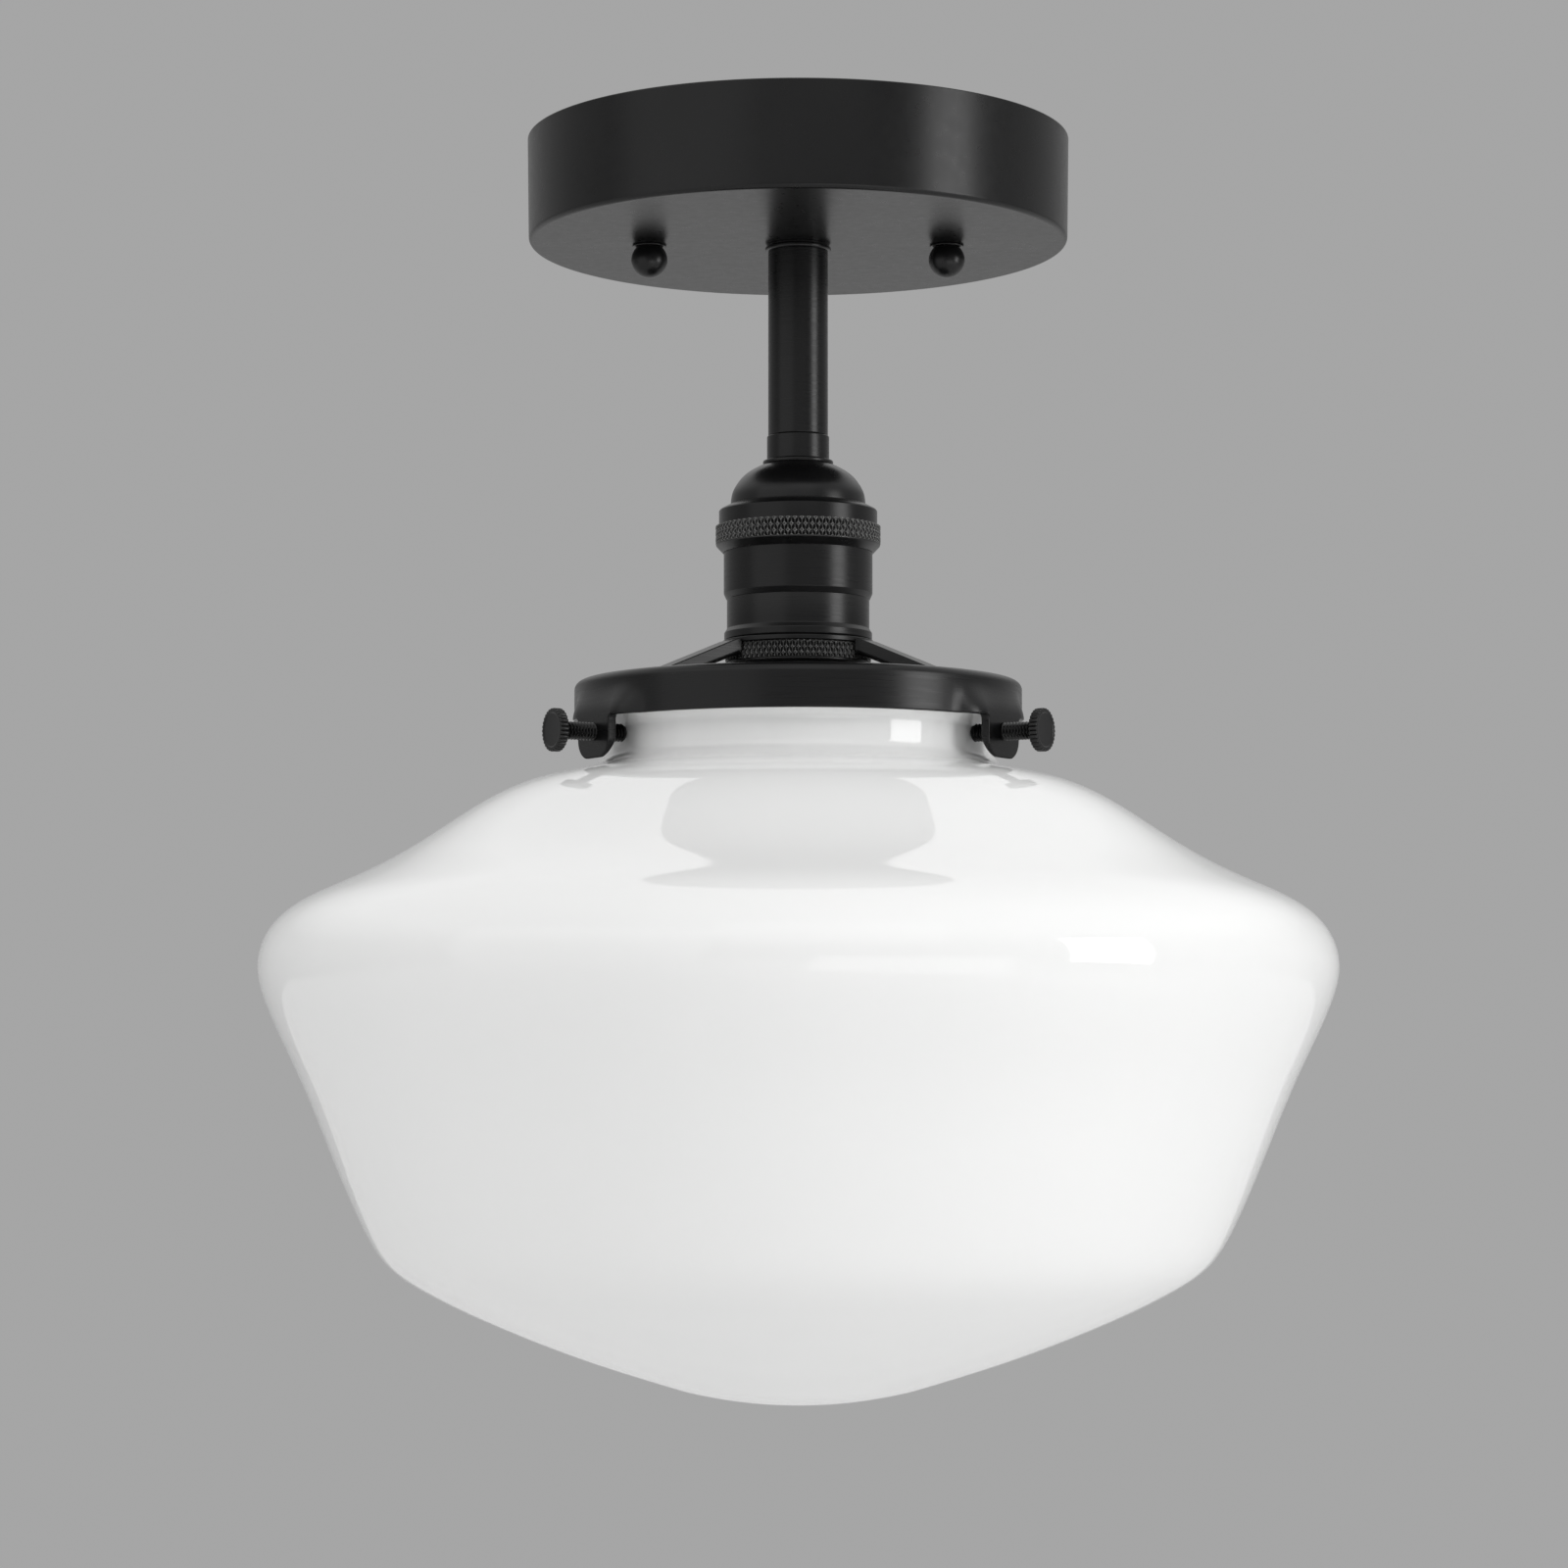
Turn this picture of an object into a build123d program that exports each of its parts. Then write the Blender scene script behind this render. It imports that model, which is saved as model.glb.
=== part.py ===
"""Semi flush ceiling light: canopy, short stem, lamp holder, spider shade holder and glass shade.

Millimetres. The origin is the centre of the ceiling plane, +Z is up, and the light hangs below it.
"""
import os
from math import cos, pi, sin, sqrt

from build123d import *

os.makedirs("parts", exist_ok=True)

# ---------------------------------------------------------------- driving dimensions
SEAT_GAP = 0.1          # between faces of two moving pieces that rest on each other
THREAD_FIT = 0.05       # radial play of a screw in its nut
SLIP_FIT = 0.1          # radial play of a plain hole over what passes through it

# ceiling strap
BAR_LENGTH = 104.0
BAR_WIDTH = 20.0
BAR_THICK = 2.0
BAR_END_RADIUS = 6.0
BOX_SLOT_SPACING = 88.9
BOX_SLOT_WIDTH = 4.8
BOX_SLOT_LENGTH = 9.0
CENTRE_HOLE_R = 4.9
GROUND_SCREW_X = 21.0
GROUND_SCREW_R = 2.4
GROUND_FLANGE_R = 5.0
GROUND_FLANGE_THICK = 0.9
GROUND_HEX_FLATS = 7.9
GROUND_HEX_HEIGHT = 2.8

# canopy
CANOPY_TOP_R = 63.5
CANOPY_FACE_R = 63.15
CANOPY_HEIGHT = 24.5
CANOPY_WALL = 0.8
CANOPY_EDGE_R = 1.2

# screws that hold the canopy, and their ball nuts
CANOPY_SCREW_SPACING = 69.85
SCREW_R = 2.08
SCREW_PITCH = 25.4 / 32
SCREW_HOLE_R = 2.4
LOCK_NUT_FLATS = 8.7
LOCK_NUT_HEIGHT = 3.1
NUT_WASHER_R = 4.0
NUT_WASHER_THICK = 0.4
BALL_R = 4.25
BALL_TOP_ABOVE_CENTRE = 2.9
NUT_ENGAGED_TURNS = 6.05
NUT_BLIND_SPARE = 0.7

# stem
NIPPLE_R = 5.0
NIPPLE_BORE_R = 3.5
NIPPLE_ABOVE_NUT = 5.5
HEX_NUT_FLATS = 14.3
HEX_NUT_HEIGHT = 3.4
LOCK_WASHER_R = 8.0
LOCK_WASHER_THICK = 0.8
SEAT_RING_R = 7.7
SEAT_RING_HEIGHT = 1.6
SEAT_RING_EDGE_R = 0.6
STEM_R = 7.0
STEM_LENGTH = 43.7
COUPLING_R = 7.28
COUPLING_HEIGHT = 5.8
COUPLING_CHAMFER = 0.3
LIP_WASHER_R = 8.23
LIP_WASHER_THICK = 1.0
LIP_WASHER_EDGE_R = 0.35

# lamp holder
CAP_TOP_R = 8.3
CAP_SIDE_IN = 1.57               # the cap's side inside the upper shell
CAP_HEIGHT = 9.4
CAP_SHOULDER_IN = 3.1
CAP_SHOULDER_DROP = 2.75
CAP_HAUNCH_IN = 0.95
CAP_HAUNCH_DROP = 5.55
CAP_WALL = 1.0
CAP_HUB_R = 7.5
CAP_HUB_HEIGHT = 6.0
CAP_FLANGE_THICK = 1.0
CAP_RING_WALL = 1.13            # plain band outside the upper shell
CAP_RING_SHOULDER_DROP = 1.5
CAP_RING_PLAIN_HEIGHT = 3.6
CAP_RING_KNURL_WALL = 1.9
CAP_RING_KNURL_HEIGHT = 4.3
CAP_RING_CHAMFER_HEIGHT = 1.9
CAP_RING_LID = 1.3
UPPER_SHELL_OUT = 0.75          # upper shell outside the lower one
UPPER_SHELL_WALL = 0.8
UPPER_SHELL_BELOW_RING = 9.6
UPPER_SHELL_STEP = 1.4
LOWER_SHELL_TUCK = 8.0
LOWER_SHELL_HEIGHT = 6.9
LOWER_SHELL_WALL = 0.85
BEAD_OUT = 0.63                 # bead outside the lower shell
BEAD_NECK_HEIGHT = 0.8
BEAD_HEIGHT = 2.0
BEAD_EDGE_R = 0.5
HOLDER_THREAD_OUT = 2.15        # the outer thread outside the lamp's screw shell
LOWER_SHELL_OUT = 0.82          # lower shell outside the outer thread
HOLDER_THREAD_WALL = 0.8
HOLDER_PITCH = 25.4 / 16
INSULATOR_TOP_BELOW_CAP = 5.5
INSULATOR_MOUTH_UP = 1.5
LAMP_THREAD_R = 13.25
LAMP_SHELL_WALL = 0.4
LAMP_SHELL_LENGTH = 22.0
LAMP_SHELL_FLOOR_WIDTH = 3.75
LAMP_SHELL_SET_BACK = 0.6
TONGUE_WIDTH = 6.0
TONGUE_THICK = 0.5
TONGUE_ROOT_X = -7.0
TONGUE_TIP_X = 3.0
TONGUE_DROP = 3.2
TONGUE_TIP_CURL = 1.2
TONGUE_ROOT_DEPTH = 3.0
TONGUE_ROOT_CLEAR = 0.5         # room round the tongue's root in its slot
LEAD_R = 1.1
LEAD_IN_NIPPLE_X = 1.75
LEAD_HOLE_X = 8.0
LEAD_HOLE_DEPTH = 4.0
LEAD_BENDS = [3.0, 3.0, 5.0]    # bend radii from the porcelain upwards
LEAD_ABOVE_NIPPLE = 5.6
LEAD_REACH_X = 30.0

# ring that clamps the spider under the lamp holder's bead
CLAMP_RING_WALL = 1.15
CLAMP_RING_HEIGHT = 4.3
CLAMP_RING_CHAMFER = 0.35
CLAMP_RING_TURNS = 6.1          # turns from the hub to the end of the holder's thread

# shade holder
HUB_BEYOND_RING = 0.7
HUB_THICK = 1.1
FITTER_R = 52.1
FITTER_WALL = 1.6
FITTER_TOP_BELOW_HUB = 9.7
FITTER_HEIGHT = 10.2
FITTER_EDGE_R = 2.0
FLANGE_WIDTH = 12.1
ARM_COUNT = 3
ARM_FIRST_ANGLE = 90.0
ARM_WIDTH = 7.8
ARM_ROOT_HEIGHT = 4.2
ARM_BELOW_HUB_TOP = 0.5
ARM_SHOULDER_OUT = 0.3
ARM_ON_FLANGE = 4.0
ARM_CLEAR = 0.4
EAR_HALF_WIDTH = 7.5
EAR_FACE_OUT = 1.7              # the ear's flat face beyond the wall
EAR_THICK = 2.2
EAR_TIP_THICK = 0.7
EAR_LEAD_IN = 4.0               # slope inside the ear's tip that guides the glass in
EAR_ROOT_THICK = 3.0
EAR_ROOT_DROP = 1.5
EAR_DROP = 9.4
EAR_CORNER_R = 4.5
EAR_BLEND_UP = 8.0
EAR_BLEND_INSET = 2.4

# thumb screws
THUMB_AXIS_BELOW_WALL = 3.4
THUMB_HEAD_R = 4.95
THUMB_HEAD_THICK = 2.1
THUMB_HEAD_SOCKET = 1.5
THUMB_RIDGES = 30
THUMB_RIDGE_DEPTH = 0.28
THUMB_HEAD_CHAMFER = 0.3
THUMB_HEAD_OUT = 10.5
THUMB_TIP_GAP = 0.4
THUMB_TIP_CHAMFER = 0.5

# glass shade
GLASS_WALL = 3.0
GLASS_LIP_FIT = 1.1             # radial room round the lip inside the holder's wall
GLASS_LIP_OVERHANG = 3.8        # how far the lip stands out over the neck
GLASS_LIP_TOP_BELOW_FLANGE = 3.3
GLASS_LIP_HEIGHT = 6.6
GLASS_LIP_THICK = 4.0
GLASS_NECK_DROP = 6.2
GLASS_DROP = 156.6
# outline of the bowl below the neck: radius and drop below the holder's wall
GLASS_OUTLINE = (
    (53.0, 11.0),
    (62.4, 13.2),
    (71.8, 17.3),
    (83.7, 24.9),
    (96.1, 32.4),
    (107.4, 37.7),
    (116.4, 42.3),
    (122.0, 47.8),
    (124.5, 55.6),
    (122.5, 64.8),
    (115.1, 80.9),
    (107.1, 100.0),
    (100.5, 115.0),
    (94.6, 124.3),
    (86.4, 130.2),
    (69.8, 138.2),
    (49.8, 146.0),
    (27.9, 153.0),
)

# ---------------------------------------------------------------- lamp holder's radii, from the lamp outwards
LAMP_SHELL_R = LAMP_THREAD_R + LAMP_SHELL_WALL
HOLDER_THREAD_R = LAMP_SHELL_R + HOLDER_THREAD_OUT
LOWER_SHELL_R = HOLDER_THREAD_R + LOWER_SHELL_OUT
BEAD_R = LOWER_SHELL_R + BEAD_OUT
UPPER_SHELL_R = LOWER_SHELL_R + UPPER_SHELL_OUT
CAP_RING_SHOULDER_R = UPPER_SHELL_R + CAP_RING_WALL
CAP_RING_KNURL_R = UPPER_SHELL_R + CAP_RING_KNURL_WALL
CAP_SIDE_R = UPPER_SHELL_R - CAP_SIDE_IN
CAP_SHOULDER_R = CAP_SIDE_R - CAP_SHOULDER_IN
CAP_HAUNCH_R = CAP_SIDE_R - CAP_HAUNCH_IN

# ---------------------------------------------------------------- heights that follow
CANOPY_FACE = -CANOPY_HEIGHT
CANOPY_FLOOR = CANOPY_FACE + CANOPY_WALL
SCREW_X = CANOPY_SCREW_SPACING / 2
NUT_WASHER_TOP = CANOPY_FACE - SEAT_GAP
BALL_TOP = NUT_WASHER_TOP - NUT_WASHER_THICK - SEAT_GAP
BALL_CENTRE = BALL_TOP - BALL_TOP_ABOVE_CENTRE
CANOPY_SCREW_END = BALL_TOP - NUT_ENGAGED_TURNS * SCREW_PITCH

STEM_TOP = CANOPY_FACE - SEAT_RING_HEIGHT
COUPLING_TOP = STEM_TOP - STEM_LENGTH
LIP_WASHER_TOP = COUPLING_TOP - COUPLING_HEIGHT
CAP_TOP = LIP_WASHER_TOP - LIP_WASHER_THICK
CAP_BOTTOM = CAP_TOP - CAP_HEIGHT
NIPPLE_TOP = CANOPY_FLOOR + LOCK_WASHER_THICK + HEX_NUT_HEIGHT + NIPPLE_ABOVE_NUT
NIPPLE_BOTTOM = CAP_TOP - CAP_HUB_HEIGHT

RING_SHOULDER = CAP_BOTTOM - CAP_RING_SHOULDER_DROP
RING_KNURL_TOP = RING_SHOULDER - CAP_RING_PLAIN_HEIGHT
RING_KNURL_BOTTOM = RING_KNURL_TOP - CAP_RING_KNURL_HEIGHT
RING_BOTTOM = RING_KNURL_BOTTOM - CAP_RING_CHAMFER_HEIGHT
RING_LID_BOTTOM = RING_SHOULDER - CAP_RING_LID
UPPER_SHELL_TOP = RING_LID_BOTTOM - CAP_FLANGE_THICK
UPPER_STEP_TOP = RING_BOTTOM - UPPER_SHELL_BELOW_RING
UPPER_SHELL_BOTTOM = UPPER_STEP_TOP - UPPER_SHELL_STEP
LOWER_SHELL_TOP = UPPER_STEP_TOP + LOWER_SHELL_TUCK
NECK_TOP = UPPER_SHELL_BOTTOM - LOWER_SHELL_HEIGHT
BEAD_TOP = NECK_TOP - BEAD_NECK_HEIGHT
BEAD_BOTTOM = BEAD_TOP - BEAD_HEIGHT
HUB_TOP = BEAD_BOTTOM - SEAT_GAP
HUB_BOTTOM = HUB_TOP - HUB_THICK
CLAMP_RING_TOP = HUB_BOTTOM - SEAT_GAP
CLAMP_RING_BOTTOM = CLAMP_RING_TOP - CLAMP_RING_HEIGHT
HOLDER_BOTTOM = CLAMP_RING_TOP - CLAMP_RING_TURNS * HOLDER_PITCH
HOLDER_INNER_R = LOWER_SHELL_R - LOWER_SHELL_WALL
THREAD_INNER_R = HOLDER_THREAD_R - HOLDER_THREAD_WALL
INSULATOR_TOP = UPPER_SHELL_TOP - INSULATOR_TOP_BELOW_CAP
INSULATOR_BOTTOM = HOLDER_BOTTOM + INSULATOR_MOUTH_UP
INSULATOR_SEAT = BEAD_BOTTOM + HOLDER_THREAD_WALL
LAMP_SHELL_BOTTOM = INSULATOR_BOTTOM + LAMP_SHELL_SET_BACK
LAMP_SHELL_TOP = LAMP_SHELL_BOTTOM + LAMP_SHELL_LENGTH

CLAMP_RING_R = HOLDER_THREAD_R + THREAD_FIT + CLAMP_RING_WALL
HUB_R = CLAMP_RING_R + HUB_BEYOND_RING
HUB_HOLE_R = HOLDER_THREAD_R + 2 * SLIP_FIT
ARM_SHOULDER_R = HUB_R + ARM_SHOULDER_OUT
FLANGE_INNER_R = FITTER_R - FLANGE_WIDTH
ARM_END_R = FLANGE_INNER_R + ARM_ON_FLANGE
FITTER_TOP = HUB_TOP - FITTER_TOP_BELOW_HUB
FITTER_FLANGE_BOTTOM = FITTER_TOP - FITTER_WALL
FITTER_BOTTOM = FITTER_TOP - FITTER_HEIGHT
EAR_BOTTOM = FITTER_BOTTOM - EAR_DROP
EAR_FACE_R = FITTER_R + EAR_FACE_OUT
EAR_BACK_R = EAR_FACE_R - EAR_THICK
THUMB_AXIS = FITTER_BOTTOM - THUMB_AXIS_BELOW_WALL
GLASS_LIP_R = FITTER_R - FITTER_WALL - GLASS_LIP_FIT
GLASS_LIP_MOUTH_R = GLASS_LIP_R - GLASS_LIP_THICK
GLASS_NECK_R = GLASS_LIP_R - GLASS_LIP_OVERHANG
THUMB_TIP_R = GLASS_NECK_R + THUMB_TIP_GAP
THUMB_HEAD_FACE_R = EAR_FACE_R + THUMB_HEAD_OUT
THUMB_HEAD_BACK_R = THUMB_HEAD_FACE_R - THUMB_HEAD_THICK
GLASS_TOP = FITTER_FLANGE_BOTTOM - GLASS_LIP_TOP_BELOW_FLANGE
GLASS_LIP_BOTTOM = GLASS_TOP - GLASS_LIP_HEIGHT
GLASS_NECK_END = FITTER_BOTTOM - GLASS_NECK_DROP
GLASS_BOTTOM = FITTER_BOTTOM - GLASS_DROP
BOWL_POINTS = [(r, FITTER_BOTTOM - drop) for r, drop in GLASS_OUTLINE]
ARM_ANGLES = [ARM_FIRST_ANGLE + 360 / ARM_COUNT * i for i in range(ARM_COUNT)]


# ---------------------------------------------------------------- helpers
def turned(*points):
    """Solid of revolution about Z from a closed outline of (radius, height) points."""
    return revolve(make_face(Polyline(*[(r, 0, z) for r, z in points], close=True)), Axis.Z)


def tube(outer_r, inner_r, top, bottom):
    """Plain tube about Z between two heights."""
    return turned((inner_r, top), (outer_r, top), (outer_r, bottom), (inner_r, bottom))


def rod(radius, top, bottom, x=0.0, y=0.0):
    """Round rod or drill along Z."""
    return Pos(x, y, (top + bottom) / 2) * Cylinder(radius, top - bottom)


def hexagon(flats, top, bottom, x=0.0):
    """Hexagonal bar along Z, by its width across flats."""
    outline = RegularPolygon(flats / sqrt(3), 6)
    return Pos(x, 0, bottom) * extrude(outline, top - bottom)


def circles_at(shape, radius, height):
    """Circular edges of a turned piece at one radius and height."""
    return [
        edge
        for edge in shape.edges().filter_by(GeomType.CIRCLE)
        if abs(edge.radius - radius) < 0.01 and abs(edge.arc_center.Z - height) < 0.01
    ]


def inset(points, distance):
    """The same outline moved inwards, square to itself, by a wall's thickness."""
    moved = []
    for i, (r, z) in enumerate(points):
        before = points[max(i - 1, 0)]
        after = points[min(i + 1, len(points) - 1)]
        run_r, run_z = after[0] - before[0], after[1] - before[1]
        length = sqrt(run_r**2 + run_z**2)
        moved.append((r + run_z / length * distance, z - run_r / length * distance))
    return moved


def save(shape, node):
    """Write one sub-part."""
    export_step(shape, f"parts/{node}.step")


# ---------------------------------------------------------------- ceiling strap and its screws
def crossbar():
    """Flat steel strap for a ceiling box, with slots, tapped holes and a centre hole."""
    outline = RectangleRounded(BAR_LENGTH, BAR_WIDTH, BAR_END_RADIUS)
    bar = Pos(0, 0, -BAR_THICK) * extrude(outline, BAR_THICK)
    slot = Pos(0, 0, -BAR_THICK) * extrude(SlotOverall(BOX_SLOT_LENGTH, BOX_SLOT_WIDTH), BAR_THICK)
    bar -= rod(CENTRE_HOLE_R, 0, -BAR_THICK)
    bar -= rod(GROUND_SCREW_R + THREAD_FIT, 0, -BAR_THICK, GROUND_SCREW_X)
    for side in (-1, 1):
        bar -= rod(SCREW_R + THREAD_FIT, 0, -BAR_THICK, side * SCREW_X)
        bar -= Pos(side * BOX_SLOT_SPACING / 2, 0, 0) * slot
    return bar


def ground_screw():
    """Hex head screw with a washer face, run up into the strap."""
    flange = rod(GROUND_FLANGE_R, -BAR_THICK, -BAR_THICK - GROUND_FLANGE_THICK, GROUND_SCREW_X)
    head_top = -BAR_THICK - GROUND_FLANGE_THICK
    head = hexagon(GROUND_HEX_FLATS, head_top, head_top - GROUND_HEX_HEIGHT, GROUND_SCREW_X)
    return rod(GROUND_SCREW_R, 0, -BAR_THICK, GROUND_SCREW_X) + flange + head


def canopy_screw(x):
    """Headless screw from the strap down through the canopy into its ball nut."""
    return rod(SCREW_R, 0, CANOPY_SCREW_END, x)


def lock_nut(x):
    """Hex nut that locks the canopy screw under the strap."""
    top = -BAR_THICK
    nut = hexagon(LOCK_NUT_FLATS, top, top - LOCK_NUT_HEIGHT, x)
    return nut - rod(SCREW_R + THREAD_FIT, top, top - LOCK_NUT_HEIGHT, x)


# ---------------------------------------------------------------- canopy and ball nuts
def canopy():
    """Pressed pan, open at the top, with a slight draft and a rounded lower edge."""
    outer = turned((0, 0), (CANOPY_TOP_R, 0), (CANOPY_FACE_R, CANOPY_FACE), (0, CANOPY_FACE))
    outer = fillet(circles_at(outer, CANOPY_FACE_R, CANOPY_FACE), CANOPY_EDGE_R)
    inner_face_r = CANOPY_FACE_R - CANOPY_WALL
    inner = turned(
        (0, 0),
        (CANOPY_TOP_R - CANOPY_WALL, 0),
        (inner_face_r, CANOPY_FLOOR),
        (0, CANOPY_FLOOR),
    )
    inner = fillet(circles_at(inner, inner_face_r, CANOPY_FLOOR), CANOPY_EDGE_R - CANOPY_WALL)
    pan = outer - inner - rod(NIPPLE_R + SLIP_FIT, CANOPY_FLOOR, CANOPY_FACE)
    for side in (-1, 1):
        pan -= rod(SCREW_HOLE_R, CANOPY_FLOOR, CANOPY_FACE, side * SCREW_X)
    return pan


def nut_washer(x):
    """Thin round flange between the canopy and a ball nut."""
    bottom = NUT_WASHER_TOP - NUT_WASHER_THICK
    return Pos(x, 0, 0) * tube(NUT_WASHER_R, SCREW_R + SLIP_FIT, NUT_WASHER_TOP, bottom)


def ball_nut(x):
    """Ball with a flat top and a blind tapped hole."""
    ball = Pos(0, 0, BALL_CENTRE) * Sphere(BALL_R)
    ball -= rod(2 * BALL_R, BALL_TOP + 2 * BALL_R, BALL_TOP)
    ball -= rod(SCREW_R + THREAD_FIT, BALL_TOP, CANOPY_SCREW_END - NUT_BLIND_SPARE)
    return Pos(x, 0, 0) * ball


# ---------------------------------------------------------------- stem
def threaded_nipple():
    """Hollow threaded rod that ties canopy, stem and lamp holder together."""
    return tube(NIPPLE_R, NIPPLE_BORE_R, NIPPLE_TOP, NIPPLE_BOTTOM)


def hex_nut():
    """Nut on the nipple, inside the canopy."""
    bottom = CANOPY_FLOOR + LOCK_WASHER_THICK
    nut = hexagon(HEX_NUT_FLATS, bottom + HEX_NUT_HEIGHT, bottom)
    return nut - rod(NIPPLE_R + THREAD_FIT, bottom + HEX_NUT_HEIGHT, bottom)


def lock_washer():
    """Washer between that nut and the canopy's floor."""
    bore_r = NIPPLE_R + SLIP_FIT
    return tube(LOCK_WASHER_R, bore_r, CANOPY_FLOOR + LOCK_WASHER_THICK, CANOPY_FLOOR)


def seat_ring():
    """Beaded collar between the canopy and the stem."""
    ring = tube(SEAT_RING_R, NIPPLE_R + SLIP_FIT, CANOPY_FACE, STEM_TOP)
    return fillet(circles_at(ring, SEAT_RING_R, STEM_TOP), SEAT_RING_EDGE_R)


def stem_tube():
    """Plain sleeve over the nipple."""
    return tube(STEM_R, NIPPLE_R + SLIP_FIT, STEM_TOP, COUPLING_TOP)


def stem_coupling():
    """Short collar at the stem's lower end."""
    collar = tube(COUPLING_R, NIPPLE_R + THREAD_FIT, COUPLING_TOP, LIP_WASHER_TOP)
    edges = circles_at(collar, COUPLING_R, COUPLING_TOP)
    edges += circles_at(collar, COUPLING_R, LIP_WASHER_TOP)
    return chamfer(edges, COUPLING_CHAMFER)


def lip_washer():
    """Thin disc with a rounded rim, on top of the lamp holder."""
    disc = tube(LIP_WASHER_R, NIPPLE_R + SLIP_FIT, LIP_WASHER_TOP, CAP_TOP)
    edges = circles_at(disc, LIP_WASHER_R, LIP_WASHER_TOP)
    edges += circles_at(disc, LIP_WASHER_R, CAP_TOP)
    return fillet(edges, LIP_WASHER_EDGE_R)


# ---------------------------------------------------------------- lamp holder
def dome(wall):
    """Solid under the cap's curved outline, moved in by a wall's thickness."""
    outline = [
        (CAP_TOP_R, CAP_TOP),
        (CAP_SHOULDER_R, CAP_TOP - CAP_SHOULDER_DROP),
        (CAP_HAUNCH_R, CAP_TOP - CAP_HAUNCH_DROP),
        (CAP_SIDE_R, CAP_BOTTOM),
    ]
    places = [(r, 0, z) for r, z in inset(outline, wall)]
    top_r, _, top = places[0]
    crown = Spline(*places)
    sides = Polyline(places[0], (0, 0, top), (0, 0, CAP_BOTTOM), places[-1])
    return revolve(make_face(crown + sides), Axis.Z)


def socket_cap():
    """Domed cap with a tapped hub inside and a flange that the cap ring holds."""
    cap = dome(0) - dome(CAP_WALL)
    cap += tube(CAP_HUB_R, NIPPLE_R + THREAD_FIT, CAP_TOP - CAP_WALL / 2, NIPPLE_BOTTOM)
    cap += tube(CAP_SIDE_R, CAP_SIDE_R - CAP_WALL, CAP_BOTTOM, RING_LID_BOTTOM)
    flange_r = UPPER_SHELL_R - THREAD_FIT
    cap += tube(flange_r, CAP_SIDE_R - CAP_WALL, RING_LID_BOTTOM, UPPER_SHELL_TOP)
    return cap - rod(NIPPLE_R + THREAD_FIT, CAP_TOP, NIPPLE_BOTTOM)


def cap_ring():
    """Ring that draws the cap down on the upper shell; its wide band is knurled."""
    bore_r = UPPER_SHELL_R + THREAD_FIT
    lid_r = CAP_SIDE_R + THREAD_FIT
    return turned(
        (lid_r, CAP_BOTTOM),
        (CAP_RING_SHOULDER_R, RING_SHOULDER),
        (CAP_RING_SHOULDER_R, RING_KNURL_TOP),
        (CAP_RING_KNURL_R, RING_KNURL_TOP),
        (CAP_RING_KNURL_R, RING_KNURL_BOTTOM),
        (bore_r + THREAD_FIT, RING_BOTTOM),
        (bore_r, RING_BOTTOM),
        (bore_r, RING_LID_BOTTOM),
        (lid_r, RING_LID_BOTTOM),
    )


def upper_shell():
    """Drawn shell whose lower edge rolls in over the lower shell."""
    inner_r = UPPER_SHELL_R - UPPER_SHELL_WALL
    return turned(
        (inner_r, UPPER_SHELL_TOP),
        (UPPER_SHELL_R, UPPER_SHELL_TOP),
        (UPPER_SHELL_R, UPPER_STEP_TOP),
        (LOWER_SHELL_R, UPPER_SHELL_BOTTOM),
        (inner_r, UPPER_SHELL_BOTTOM),
    )


def lower_shell():
    """Lower shell with its flared bead, and the thread that carries the clamp ring."""
    tuck_r = UPPER_SHELL_R - UPPER_SHELL_WALL - THREAD_FIT
    shell = turned(
        (HOLDER_INNER_R, LOWER_SHELL_TOP),
        (tuck_r, LOWER_SHELL_TOP),
        (tuck_r, UPPER_SHELL_BOTTOM),
        (LOWER_SHELL_R, UPPER_SHELL_BOTTOM),
        (LOWER_SHELL_R, NECK_TOP),
        (BEAD_R, BEAD_TOP),
        (BEAD_R, BEAD_BOTTOM),
        (HOLDER_THREAD_R, BEAD_BOTTOM),
        (HOLDER_THREAD_R, HOLDER_BOTTOM),
        (THREAD_INNER_R, HOLDER_BOTTOM),
        (THREAD_INNER_R, INSULATOR_SEAT),
        (HOLDER_INNER_R, INSULATOR_SEAT),
    )
    return fillet(circles_at(shell, BEAD_R, BEAD_BOTTOM), BEAD_EDGE_R)


def insulator_body():
    """Porcelain core: it seats on the lower shell's step and holds shell, tongue and leads."""
    body_r = HOLDER_INNER_R - SLIP_FIT
    nose_r = THREAD_INNER_R - SLIP_FIT
    core = turned(
        (0, INSULATOR_TOP),
        (body_r, INSULATOR_TOP),
        (body_r, INSULATOR_SEAT),
        (nose_r, INSULATOR_SEAT),
        (nose_r, INSULATOR_BOTTOM),
        (LAMP_SHELL_R + SLIP_FIT, INSULATOR_BOTTOM),
        (LAMP_SHELL_R + SLIP_FIT, LAMP_SHELL_TOP),
        (0, LAMP_SHELL_TOP),
    )
    for side in (-1, 1):
        hole_bottom = INSULATOR_TOP - LEAD_HOLE_DEPTH
        core -= rod(LEAD_R + SLIP_FIT, INSULATOR_TOP, hole_bottom, side * LEAD_HOLE_X)
    slot_length = TONGUE_ROOT_CLEAR * 2 + TONGUE_THICK
    slot = Box(slot_length, TONGUE_WIDTH + 2 * TONGUE_ROOT_CLEAR, TONGUE_ROOT_DEPTH)
    return core - Pos(TONGUE_ROOT_X, 0, LAMP_SHELL_TOP + TONGUE_ROOT_DEPTH / 2) * slot


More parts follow.
